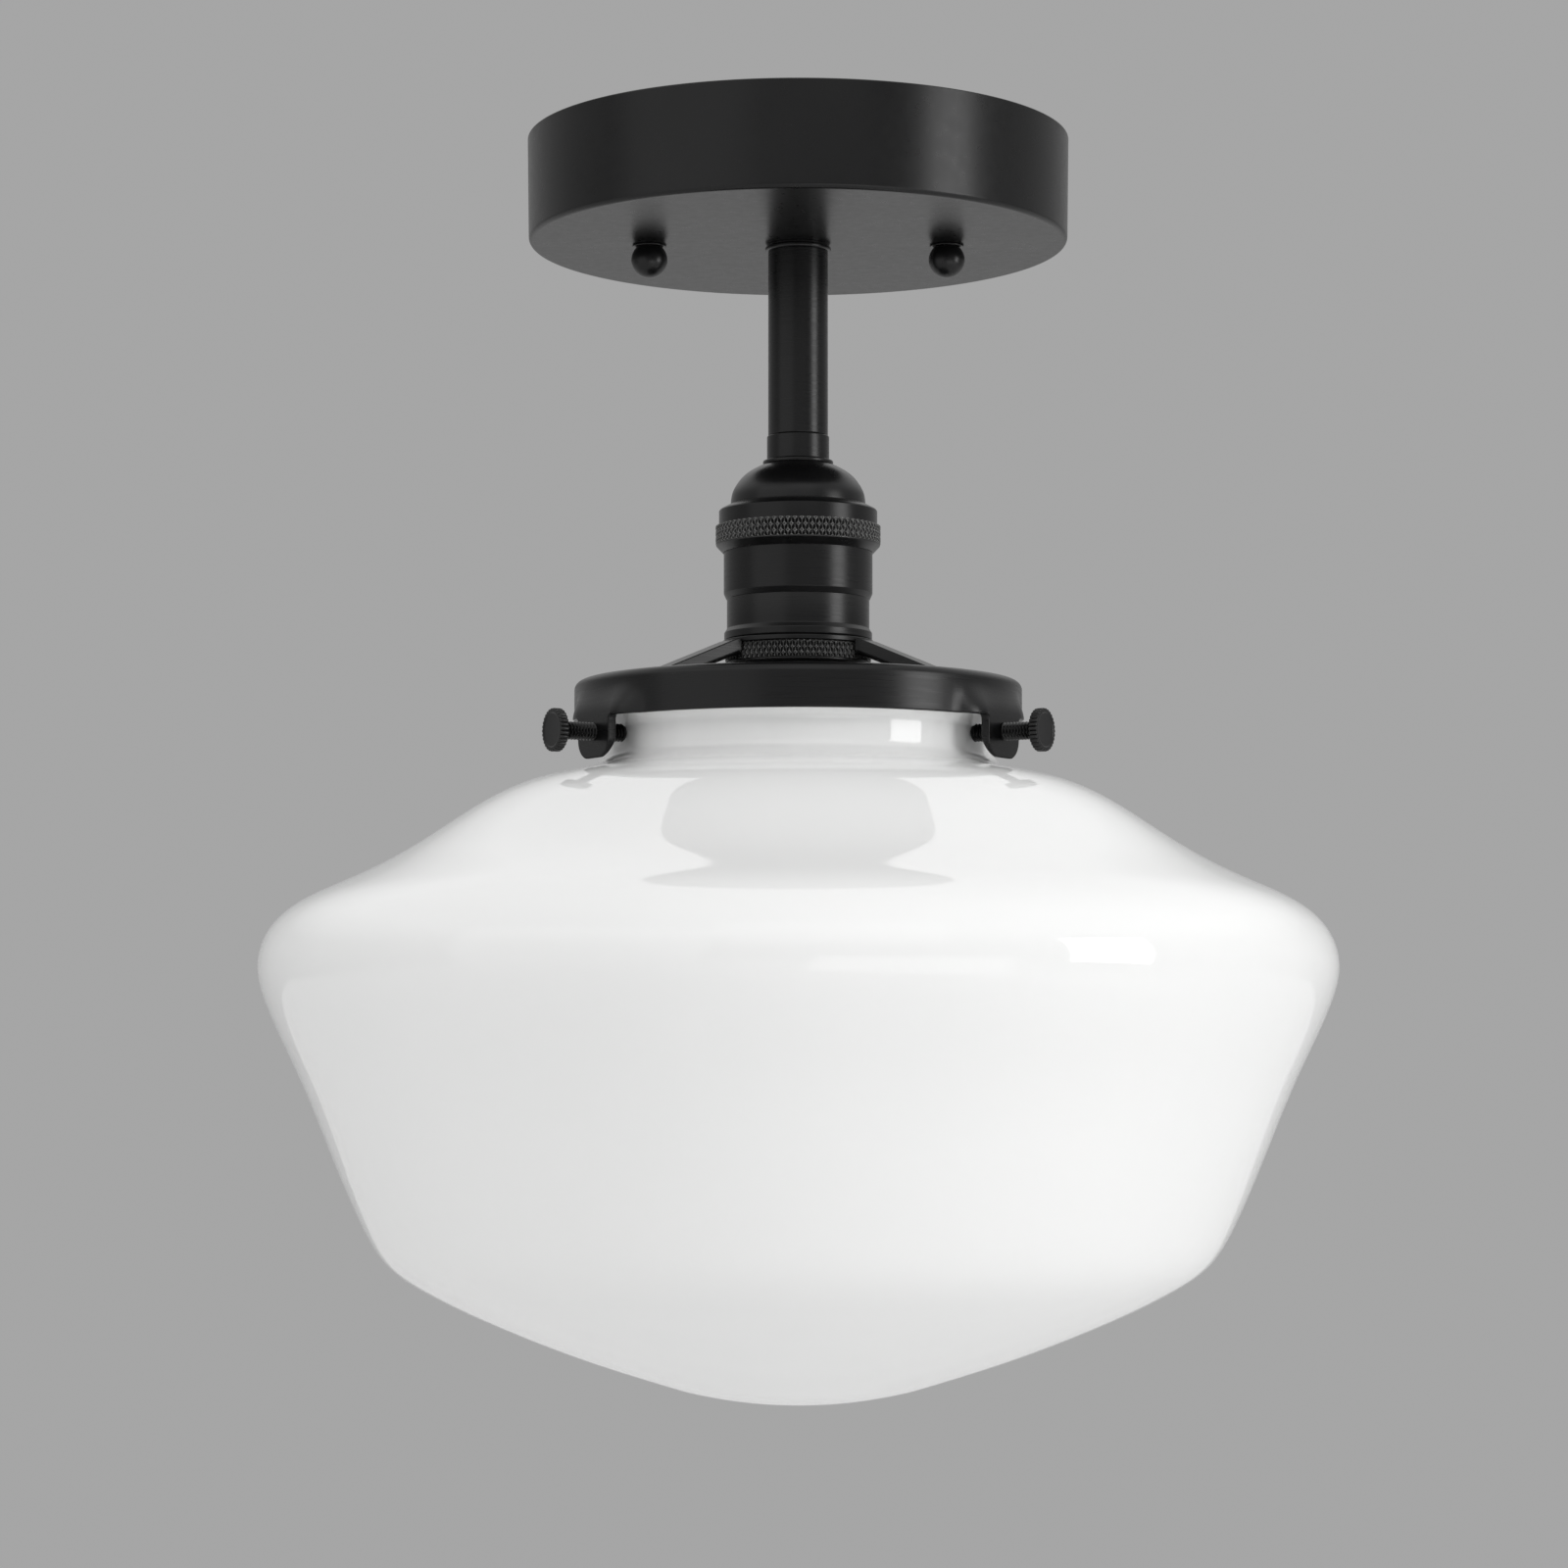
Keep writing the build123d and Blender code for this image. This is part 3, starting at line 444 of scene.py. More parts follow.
def plated(name, dark, light, rough, grain_scale=300, metallic=1.0):
    """Plated metal with a cloudy tone and uneven gloss."""
    material, tree, shader, place = nodes_of(name)
    cloud = ranged(tree, noise(tree, place, 160), 0, 1)
    tree.links.new(mixed(tree, cloud, dark, light), shader.inputs["Base Color"])
    shader.inputs["Metallic"].default_value = metallic
    marks = ranged(tree, noise(tree, place, grain_scale, 4), rough - 0.08, rough + 0.08)
    tree.links.new(marks, shader.inputs["Roughness"])
    bump(tree, shader, noise(tree, place, 2400), 0.01)
    return material


def glossy(name, dark, light, rough, ripple, ripple_scale):
    """Smooth glossy skin, such as glaze or insulation, with a slow ripple."""
    material, tree, shader, place = nodes_of(name)
    cloud = ranged(tree, noise(tree, place, 45), 0, 1)
    tree.links.new(mixed(tree, cloud, dark, light), shader.inputs["Base Color"])
    marks = ranged(tree, noise(tree, place, 220), rough - 0.02, rough + 0.03)
    tree.links.new(marks, shader.inputs["Roughness"])
    bump(tree, shader, noise(tree, place, ripple_scale, 2.0), ripple)
    return material


def opal_glass():
    """Blown opal glass: white all through, glossy, with a faint wave in its skin."""
    material, tree, shader, place = nodes_of("opal glass")
    cloud = ranged(tree, noise(tree, place, 9), 0, 1)
    tone = mixed(tree, cloud, (0.86, 0.865, 0.86), (0.885, 0.885, 0.88))
    tree.links.new(tone, shader.inputs["Base Color"])
    gloss = ranged(tree, noise(tree, place, 30), 0.035, 0.06)
    tree.links.new(gloss, shader.inputs["Roughness"])
    shader.inputs["IOR"].default_value = 1.52
    shader.inputs["Subsurface Weight"].default_value = 0.25
    shader.inputs["Subsurface Radius"].default_value = (0.006, 0.006, 0.006)
    shader.inputs["Subsurface Scale"].default_value = 1.0
    bump(tree, shader, noise(tree, place, 14, 1.0), 0.25)
    return material


BLACK = satin_black("satin black", streaks=False)
BLACK_TURNED = satin_black("satin black turned", streaks=True)
# Knurled black: the proud diamond tips get a pale, partly bare-metal colour, a painted stand-in
# for the glints on the knurl tops, with some wear.
BLACK_KNURLED = satin_black(
    "satin black knurled", streaks=False, wear_and_sheen_tone=0.2, wear_and_sheen_share=0.9, bare=0.6
)
ZINC = plated("zinc plate", (0.5, 0.5, 0.47), (0.66, 0.66, 0.64), 0.34)
GREEN = plated("green zinc", (0.02, 0.17, 0.05), (0.04, 0.28, 0.1), 0.36, 200, 0.6)
BRASS = plated("brass", (0.62, 0.42, 0.16), (0.76, 0.56, 0.25), 0.28)
COPPER = plated("copper", (0.6, 0.27, 0.16), (0.74, 0.38, 0.24), 0.32)
PORCELAIN = glossy("porcelain", (0.78, 0.77, 0.73), (0.85, 0.84, 0.81), 0.12, 0.05, 120)
COVER_SKIN = (0.42, 0.02, 500)
BLACK_COVER = (0.015, 0.015, 0.016), (0.028, 0.028, 0.03)
WHITE_COVER = (0.7, 0.7, 0.67), (0.8, 0.8, 0.77)
LEAD_COVERS = {
    "line": glossy("black insulation", *BLACK_COVER, *COVER_SKIN),
    "neutral": glossy("white insulation", *WHITE_COVER, *COVER_SKIN),
}
GLASS = opal_glass()


# ---------------------------------------------------------------- ceiling strap and its screws
SCREW_X = middle("ball_nut_right").x
SCREW_R = half_width("canopy_screw_right")
SCREW_PITCH = 25.4 / 32
THREAD_DEPTH = 0.42
LOCK_NUT_EDGE = 0.35
STRAP_EDGE = 0.25
STRAP_END_R = 6.0
STRAP_HOLE_R = 4.9
SLOT_X, SLOT_LENGTH, SLOT_WIDTH = 44.45, 9.0, 4.8
GROUND_HOLE_R = 2.45
GROUND_SHANK_R = 2.4
GROUND_FLANGE_DROP = 2.0
GROUND_FLANGE_R = 5.0
GROUND_FLANGE_THICK = 0.9
GROUND_HEAD_FLATS = 7.9
GROUND_HEAD_EDGE = 0.3
GROUND_SLOT_LENGTH, GROUND_SLOT_WIDTH = 6.2, 1.1
AXIS_R = 0.01


def slot_outline(x, length, width):
    """Outline of a slot with round ends, along X."""
    reach = (length - width) / 2
    outline = []
    for end, start in ((1, -pi / 2), (-1, pi / 2)):
        for k in range(13):
            turn = start + pi * k / 12
            outline.append((x + end * reach + width / 2 * cos(turn), width / 2 * sin(turn)))
    return outline


def strap():
    """Flat strap with rounded ends, two slots, tapped holes and a centre hole."""
    low, high = (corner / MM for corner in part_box("crossbar"))
    corners = [(high.x, high.y), (low.x, high.y), (low.x, low.y), (high.x, low.y)]
    outline = rounded([(x, y, STRAP_END_R) for x, y in corners], 8)
    loops = [outline, circle(STRAP_HOLE_R), circle(GROUND_HOLE_R, middle("ground_screw").x)]
    for side in SIDES.values():
        loops.append(slot_outline(side * SLOT_X, SLOT_LENGTH, SLOT_WIDTH))
        loops.append(circle(SCREW_R, side * SCREW_X))
    mesh = plate("crossbar", loops, high.z, low.z, STRAP_EDGE)
    piece("strap", mesh, ZINC, "root", ["crossbar"])


def hexagon(flats, x=0.0):
    """Outline of a hexagon by its width across flats."""
    return circle(flats / 2 / cos(pi / 6), x, 0, 6)


def screw_mesh(name, r, high, low, pitch, depth, bore=0.0, steps=8, segments=32):
    """Threaded rod about Z with chamfered ends, hollow if it has a bore."""
    chamfer = depth
    side = run((r, high - chamfer), (r, low + chamfer), pitch / steps)
    outline = [(bore, high), (r - chamfer, high), *side, (r, low + chamfer)]
    outline += [(r - chamfer, low), (bore, low)]
    relief = thread(pitch, depth, high + pitch, low - pitch, r - depth / 2)
    return turned(name, outline, segments, loop=bore > 0, relief=relief)


def ceiling_hardware():
    """Canopy screws, lock nuts and ground screw, under the strap."""
    for name, side in SIDES.items():
        node = f"canopy_screw_{name}"
        mesh = screw_mesh(node, SCREW_R, top(node), bottom(node), SCREW_PITCH, THREAD_DEPTH)
        mesh.transform(Matrix.Translation((side * SCREW_X * MM, 0, 0)))
        piece(f"threads_{node}", mesh, ZINC, "root", [node], weighted=False)
        node = f"lock_nut_{name}"
        loops = [hexagon(across_flats(node), side * SCREW_X), circle(SCREW_R, side * SCREW_X)]
        mesh = plate(node, loops, top(node), bottom(node), LOCK_NUT_EDGE)
        piece(f"hex_{node}", mesh, ZINC, "root", [node])
    node = "ground_screw"
    x, high = middle(node).x, top("crossbar") - GROUND_FLANGE_DROP
    low = high - GROUND_FLANGE_THICK
    loops = [hexagon(GROUND_HEAD_FLATS, x), slot_outline(x, GROUND_SLOT_LENGTH, GROUND_SLOT_WIDTH)]
    head = plate("head", loops, low, bottom(node), GROUND_HEAD_EDGE)
    outline = rounded(
        [
            (AXIS_R, high, 0),
            (GROUND_FLANGE_R, high, 0.2),
            (GROUND_FLANGE_R, low, 0.4),
            (AXIS_R, low, 0),
        ]
    )
    flange = turned("flange", outline, 48)
    shank = screw_mesh("shank", GROUND_SHANK_R, 0, high, SCREW_PITCH, THREAD_DEPTH)
    for part in (flange, shank):
        part.transform(Matrix.Translation((x * MM, 0, 0)))
    mesh = joined("green_screw", [head, flange, shank])
    piece("green_screw", mesh, GREEN, "root", [node])


# ---------------------------------------------------------------- canopy and ball nuts
CANOPY_WALL = 0.8
CANOPY_DRAFT = 0.35
CANOPY_EDGE = 1.2
STEM_HOLE_R = 5.1
SCREW_HOLE_R = 2.4
BALL_BORE = 5.5
WASHER_EDGE = 0.15


def canopy():
    """Drum with a slight draft and a softly rounded lower edge, open at the top."""
    r, high, low = radius("canopy"), top("canopy"), bottom("canopy")
    face_r, floor = r - CANOPY_DRAFT, low + CANOPY_WALL
    outline = rounded(
        [
            (r - CANOPY_WALL, high, 0.3),
            (r, high, 0.3),
            (face_r, low, CANOPY_EDGE),
            (STEM_HOLE_R, low, 0.1),
            (STEM_HOLE_R, floor, 0.1),
            (face_r - CANOPY_WALL, floor, 0.6),
        ],
        8,
    )
    holes = [(SCREW_HOLE_R, side * SCREW_X, 0) for side in SIDES.values()]
    mesh = drilled(turned("canopy", outline), holes)
    piece("canopy_pan", mesh, BLACK, "root", ["canopy"])


def ball_nuts():
    """Round cap nuts, each with its thin washer."""
    for name, side in SIDES.items():
        shift = Matrix.Translation((side * SCREW_X * MM, 0, 0))
        node = f"ball_nut_{name}"
        low, high, r = bottom(node), top(node), half_width(node)
        centre, flat = low + r, high - low - r
        start = atan2(flat, (r**2 - flat**2) ** 0.5)
        arc = [start - (start + pi / 2) * k / 20 for k in range(21)]
        ball = [(r * cos(t), centre + r * sin(t)) for t in arc]
        outline = [(0, high - BALL_BORE), (SCREW_R, high - BALL_BORE), (SCREW_R, high), *ball]
        mesh = turned(node, outline, 64, loop=False)
        mesh.transform(shift)
        piece(f"round_{node}", mesh, BLACK, node, [node])
        node = f"nut_washer_{name}"
        low, high, r = bottom(node), top(node), half_width(node)
        corners = [
            (SCREW_HOLE_R, high, 0),
            (r, high, WASHER_EDGE),
            (r, low, WASHER_EDGE),
            (SCREW_HOLE_R, low, 0),
        ]
        mesh = turned(node, rounded(corners), 64)
        mesh.transform(shift)
        piece(f"thin_{node}", mesh, BLACK, node, [node])


# ---------------------------------------------------------------- stem
COLLAR_STEP = 0.35
COLLAR_STEP_HEIGHT = 0.55
COLLAR_BEAD_DROP = 0.7
NIPPLE_PITCH = 25.4 / 27
NIPPLE_THREAD_DEPTH = 0.5
NIPPLE_BORE_R = 3.5
HEX_NUT_EDGE = 0.4


def ring(node, bore, edge_top, edge_bottom, material):
    """Plain turned ring as high and wide as its frame node."""
    r, high, low = radius(node), top(node), bottom(node)
    corners = [(bore, high, 0.05), (r, high, edge_top), (r, low, edge_bottom), (bore, low, 0.05)]
    return piece(f"turned_{node}", turned(node, rounded(corners)), material, "root", [node])


def stem():
    """Beaded collar, sleeve, coupling and lip disc, with the nipple and its nut inside."""
    bore = STEM_HOLE_R
    r, high, low = radius("seat_ring"), top("seat_ring"), bottom("seat_ring")
    outline = rounded(
        [
            (bore, high, 0.05),
            (r - COLLAR_STEP, high, 0.1),
            (r - COLLAR_STEP, high - COLLAR_STEP_HEIGHT, 0.1),
            (r, high - COLLAR_BEAD_DROP, 0.25),
            (r, low, 0.42),
            (bore, low, 0.05),
        ]
    )
    piece("beaded_collar", turned("collar", outline), BLACK, "root", ["seat_ring"])
    ring("stem_tube", bore, 0.15, 0.35, BLACK_TURNED)
    ring("stem_coupling", bore, 0.3, 0.25, BLACK_TURNED)
    ring("lip_washer", bore, 0.35, 0.35, BLACK)
    ring("lock_washer", bore, 0.15, 0.15, ZINC)
    node = "threaded_nipple"
    bore_r = radius(node)
    mesh = screw_mesh(
        node,
        bore_r,
        top(node),
        bottom(node),
        NIPPLE_PITCH,
        NIPPLE_THREAD_DEPTH,
        NIPPLE_BORE_R,
        steps=6,
        segments=48,
    )
    piece("threads_nipple", mesh, ZINC, "root", [node], weighted=False)
    node = "hex_nut"
    loops = [hexagon(across_flats(node)), circle(bore_r)]
    mesh = plate("nut", loops, top(node), bottom(node), HEX_NUT_EDGE)
    piece("hex_nut_faced", mesh, ZINC, "root", [node])


# ---------------------------------------------------------------- lamp holder
DOME = (
    (8.3, 0.0),
    (10.71, -1.24),
    (12.66, -2.63),
    (13.91, -4.03),
    (14.81, -5.42),
    (15.41, -6.8),
    (15.68, -8.2),
    (15.8, -9.4),
)
CAP_WALL = 1.0
CAP_HUB_R = 7.5
CAP_HUB_HEIGHT = 6.0
CAP_BORE_R = 5.05
CAP_FLANGE_R = 17.3
CAP_FLANGE_THICK = 1.0
CAP_MOUTH_R = 14.8
KNURL_FLAT = 0.62
KNURL_STEPS = 10
RING_BORE_R = 15.85
RING_SHOULDER_R = 18.5
RING_SHOULDER_DROP = 1.5
RING_BAND_DROP = 3.6
RING_KNURL_HEIGHT = 4.3
RING_DIAMONDS = 74
RING_DIAMOND_PERIOD = 2.9
RING_KNURL_DEPTH = 0.55
RING_LIP_HEIGHT = 0.25
RING_MOUTH_R = 17.42
RING_LID = 2.8
SHELL_WALL = 0.8
SHELL_ROLL = 1.4
LOWER_SHELL_R = 16.62
BEAD_HEIGHT = 2.0
BEAD_NECK = 0.8
LOWER_SHELL_TUCK = 8.0
HOLDER_THREAD_R = 15.8
HOLDER_THREAD_DEPTH = 0.5
HOLDER_PITCH = 25.4 / 16
SOCKET_PITCH = 25.4 / 7
SOCKET_THREAD_DEPTH = 0.8
SOCKET_WALL = 0.4


def socket_cap():
    """Domed cap over a tapped hub."""
    crown = top("socket_cap")
    outer = [(r, crown + z) for r, z in smooth_curve(DOME, 4)]
    inner = moved_in(outer, -CAP_WALL)
    low, hub_low = bottom("socket_cap"), crown - CAP_HUB_HEIGHT
    flange_top = low + CAP_FLANGE_THICK
    flange = [
        (DOME[-1][0], flange_top),
        (CAP_FLANGE_R, flange_top),
        (CAP_FLANGE_R, low),
        (CAP_MOUTH_R, low),
    ]
    hub = [
        (CAP_HUB_R, crown - CAP_WALL),
        (CAP_HUB_R, hub_low),
        (CAP_BORE_R, hub_low),
        (CAP_BORE_R, crown),
    ]
    outline = [*outer, *flange, *inner[::-1][:-3], *hub]
    piece("domed_cap", turned("cap", outline), BLACK, "root", ["socket_cap"])


def cap_ring():
    """Ring with a plain band over a band of diamond knurling."""
    r, high, low = radius("cap_ring"), top("cap_ring"), bottom("cap_ring")
    shoulder = high - RING_SHOULDER_DROP
    knurl_top = shoulder - RING_BAND_DROP
    knurl_low = knurl_top - RING_KNURL_HEIGHT
    upper = rounded(
        [
            (RING_BORE_R, high - RING_LID, 0),
            (RING_BORE_R, high, 0.1),
            (RING_SHOULDER_R - 0.25, shoulder + 0.25, 0.3),
            (RING_SHOULDER_R, shoulder - 0.1, 0.2),
            (RING_SHOULDER_R, knurl_top, 0),
        ]
    )
    band = run((r, knurl_top), (r, knurl_low), 0.14)
    lower = rounded(
        [
            (r - 0.1, knurl_low, 0),
            (r - 0.1, knurl_low - RING_LIP_HEIGHT, 0.5),
            (RING_MOUTH_R + 0.2, low, 0.2),
            (RING_MOUTH_R, low, 0),
            (RING_MOUTH_R, high - RING_LID, 0),
        ]
    )
    relief = diamonds(
        RING_DIAMONDS,
        RING_DIAMOND_PERIOD,
        RING_KNURL_DEPTH,
        knurl_top,
        knurl_low,
        RING_SHOULDER_R + 0.1,
        KNURL_FLAT,
    )
    outline = [*upper, (r - 0.2, knurl_top), *band, *lower]
    mesh = turned("cap_ring", outline, RING_DIAMONDS * KNURL_STEPS, relief=relief)
    piece(
        "knurled_cap_ring",
        mesh,
        BLACK_KNURLED,
        "root",
        ["cap_ring"],
        weighted=False,
        crease=32,
    )


def shells():
    """Upper shell rolled in over the lower one, which ends in a bead and a thread."""
    r, high, low = radius("upper_shell"), top("upper_shell"), bottom("upper_shell")
    inner = r - SHELL_WALL
    roll = low + SHELL_ROLL
    outline = rounded(
        [
            (inner, high, 0.1),
            (r, high, 0.2),
            (r, roll, 0.55),
            (LOWER_SHELL_R + 0.12, low, 0.2),
            (inner, low, 0),
        ],
        6,
    )
    mesh = turned("upper", outline)
    piece("drawn_upper_shell", mesh, BLACK_TURNED, "root", ["upper_shell"])

    bead_r, thread_low = radius("lower_shell"), bottom("lower_shell")
    bead_low = top("fitter") + 0.1
    bead_top = bead_low + BEAD_HEIGHT
    neck = bead_top + BEAD_NECK
    inner = HOLDER_THREAD_R - SHELL_WALL
    outline = rounded(
        [
            (inner, low + LOWER_SHELL_TUCK, 0),
            (LOWER_SHELL_R - 0.1, low + LOWER_SHELL_TUCK, 0),
            (LOWER_SHELL_R - 0.1, low + 0.1, 0),
            (LOWER_SHELL_R, low, 0),
            (LOWER_SHELL_R, neck, 0.5),
            (bead_r, bead_top - 0.2, 0.45),
            (bead_r, bead_low, 0.5),
            (HOLDER_THREAD_R, bead_low, 0),
        ],
        6,
    )
    thread_ends = (HOLDER_THREAD_R, bead_low), (HOLDER_THREAD_R, thread_low)
    outline += run(*thread_ends, HOLDER_PITCH / 10)[1:]
    outline += [(HOLDER_THREAD_R - 0.3, thread_low), (inner, thread_low)]
    relief = thread(
        HOLDER_PITCH,
        HOLDER_THREAD_DEPTH,
        bead_low - 0.4,
        thread_low - 1,
        HOLDER_THREAD_R - 0.2,
    )

    def below_bead(turn, r, z):
        return relief(turn, r, z) * (z < bead_low)

    mesh = turned("lower", outline, SEGMENTS, relief=below_bead)
    piece("beaded_lower_shell", mesh, BLACK_TURNED, "root", ["lower_shell"])


def lamp_socket():
    """Rolled brass thread for the lamp, in its porcelain, with the sprung tongue."""
    node = "screw_shell"
    r, high, low = radius(node), top(node), bottom(node)
    pitch = SOCKET_PITCH
    outer = run((r, high), (r, low), 0.3) + [(r, low)]
    inner = [(x - SOCKET_WALL, z) for x, z in reversed(outer)]

    def rolled(turn, radial, z):
        lobe = 0.5 - 0.5 * np.cos(2 * pi * (z / pitch - turn / (2 * pi)))
        fade = np.clip((high - z) / pitch, 0, 1) * np.clip((z - low) / pitch, 0, 1)
        return SOCKET_THREAD_DEPTH * lobe * fade

    mesh = turned(node, [*outer, *inner], 96, relief=rolled)
    piece("rolled_screw_shell", mesh, BRASS, "root", [node])
    for name, material in (("insulator_body", PORCELAIN), ("centre_contact", BRASS)):
        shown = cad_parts[name]
        shown.data.materials.clear()
        shown.data.materials.append(material)


# ---------------------------------------------------------------- leads
LEAD_R = 1.1
LEAD_HOLE_X = 8.0
LEAD_IN_STEM_X = 1.75
STRIPPED = 7.0
STRANDS = 6
STRAND_R = 0.24
STRAND_RING_R = 0.42


def tube_along(name, route, r, turns=12):
    """Round tube along a route of millimetre points, as a mesh."""
    curve = bpy.data.curves.new(name, "CURVE")
    curve.dimensions = "3D"
    spline = curve.splines.new("NURBS")
    spline.points.add(len(route) - 1)
    coordinates = [c for x, y, z in route for c in (x * MM, y * MM, z * MM, 1)]
    spline.points.foreach_set("co", coordinates)
    spline.order_u = 3
    spline.use_endpoint_u = True
    spline.resolution_u = 8
    curve.bevel_depth = r * MM
    curve.bevel_resolution = turns // 4
    curve.use_fill_caps = True
    holder = linked(name, curve)
    mesh = final_mesh(holder)
    bpy.data.objects.remove(holder)
    return mesh


def leads():
    """Two insulated leads up the nipple, each with a bare twisted end in the canopy."""
    for name, side, slot in (("line", 1, "lead_black"), ("neutral", -1, "lead_white")):
        node = f"lead_{name}"
        low, high = (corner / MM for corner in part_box(node))
        level = high.z - LEAD_R
        in_stem, end = side * LEAD_IN_STEM_X, side * max(abs(low.x), abs(high.x))
        hole = side * LEAD_HOLE_X
        route = [
            (hole, 0, low.z),
            (hole, 0, low.z + 4.0),
            (hole, 0, low.z + 6.5),
            (in_stem, 0, low.z + 9.5),
            (in_stem, 0, low.z + 14.0),
            (in_stem, 0, level - 8.0),
            (in_stem, 0, level - 1.5),
            (in_stem + side * 1.5, 0, level),
            (in_stem + side * 8.0, 0, level),
            (end - side * STRIPPED, 0, level),
        ]
        mesh = tube_along(node, route, LEAD_R)
        piece(f"cover_{node}", mesh, LEAD_COVERS[name], "root", [node])
        start = end - side * (STRIPPED + 0.5)
        strands = []
        for k in range(STRANDS):
            twist = [
                (
                    start + (end - start) * t / 24,
                    STRAND_RING_R * cos(2 * pi * (k / STRANDS + t / 16)),
                    level + STRAND_RING_R * sin(2 * pi * (k / STRANDS + t / 16)),
                )
                for t in range(25)
            ]
            strands.append(tube_along("strand", twist, STRAND_R, 8))
        piece(f"strands_{node}", joined("strands", strands), COPPER, "root")


# ---------------------------------------------------------------- clamp ring
CLAMP_DIAMONDS = 76
CLAMP_DIAMOND_PERIOD = 2.6
CLAMP_KNURL_DEPTH = 0.42
CLAMP_KNURL_HEIGHT = 3.4


def clamp_ring():
    """Ring with fine diamond knurling over a groove and a plain rounded lip."""
    node = "clamp_ring"
    r, high, low = radius(node), top(node), bottom(node)
    bore = HOLDER_THREAD_R + 0.05
    knurl_top = high - 0.3
    knurl_low = knurl_top - CLAMP_KNURL_HEIGHT
    band = run((r, knurl_top), (r, knurl_low), 0.1)
    lip = rounded(
        [
            (r - 0.5, knurl_low - 0.1, 0),
            (r - 0.5, low + 0.4, 0.1),
            (r - 0.15, low + 0.35, 0.1),
            (r - 0.15, low, 0.15),
            (bore, low, 0),
        ]
    )
    outline = [(bore, high), (r - 0.3, high), *band, (r, knurl_low), *lip]
    relief = diamonds(
        CLAMP_DIAMONDS,
        CLAMP_DIAMOND_PERIOD,
        CLAMP_KNURL_DEPTH,
        knurl_top,
        knurl_low,
        r - 0.05,
        KNURL_FLAT,
    )
    mesh = turned(node, outline, CLAMP_DIAMONDS * KNURL_STEPS, relief=relief)
    piece(
        "knurled_clamp_ring",
        mesh,
        BLACK_KNURLED,
        node,
        [node],
        weighted=False,
        crease=32,
    )


# ---------------------------------------------------------------- shade holder
HUB_BEYOND_RING = 0.7
HUB_THICK = 1.1
HUB_HOLE_R = 16.0
FITTER_WALL = 1.6
FITTER_DROP = 9.7
FITTER_HEIGHT = 10.2
FITTER_EDGE = 2.0
FLANGE_R = 40.0
EAR_HALF = 7.5
EAR_FACE_R = 53.8
EAR_THICK = 2.2
EAR_TIP_THICK = 0.75
EAR_LEAD_IN = 4.0
EAR_CORNER = 4.5
EAR_ROOT_CORNER = 1.0
EAR_FADE = 9.0
EAR_FACE_DROP = 2.0
RIM_EDGE = 0.32
ARM_WIDTH = 7.8
ARM_TOP_DROP = 0.5
ARM_DEPTH = 4.2
ARM_ROOT_R = 17.4
ARM_SHOULDER_R = 18.0
ARM_END_R = 44.0


def eased(share):
    """0 to 1 with level ends."""
    share = min(max(share, 0), 1)
    return share * share * (3 - 2 * share)


def skin(wall_r, face_r, off, drop):
    """Radius of the holder's wall, off being the distance round it from an ear's middle.

    The wall is round at the top and between the ears, and runs into each ear's flat face.
    """
    across = 1 - eased((abs(off) - EAR_HALF - EAR_ROOT_CORNER) / EAR_FADE)
    down = eased((drop - EAR_FACE_DROP) / (FITTER_HEIGHT - EAR_FACE_DROP))
    return wall_r + (face_r / cos(off / EAR_FACE_R) - wall_r) * across * down


def ear_rows(length):
    """Depth, half width and thickness of an ear, from its root to its lower edge."""
    quarter = [pi / 2 * k / 12 for k in range(13)]
    root = [
        (EAR_ROOT_CORNER * (1 - cos(t)), EAR_HALF + EAR_ROOT_CORNER * (1 - sin(t)))
        for t in quarter
    ]
    tip = [
        (length - EAR_CORNER * (1 - sin(t)), EAR_HALF - EAR_CORNER * (1 - cos(t)))
        for t in quarter
    ]
    rows = []
    for depth, half in root + tip:
        lead_in = max(0, (depth - length) / EAR_LEAD_IN + 1)
        rows.append((depth, half, EAR_THICK - (EAR_THICK - EAR_TIP_THICK) * lead_in))
    return rows


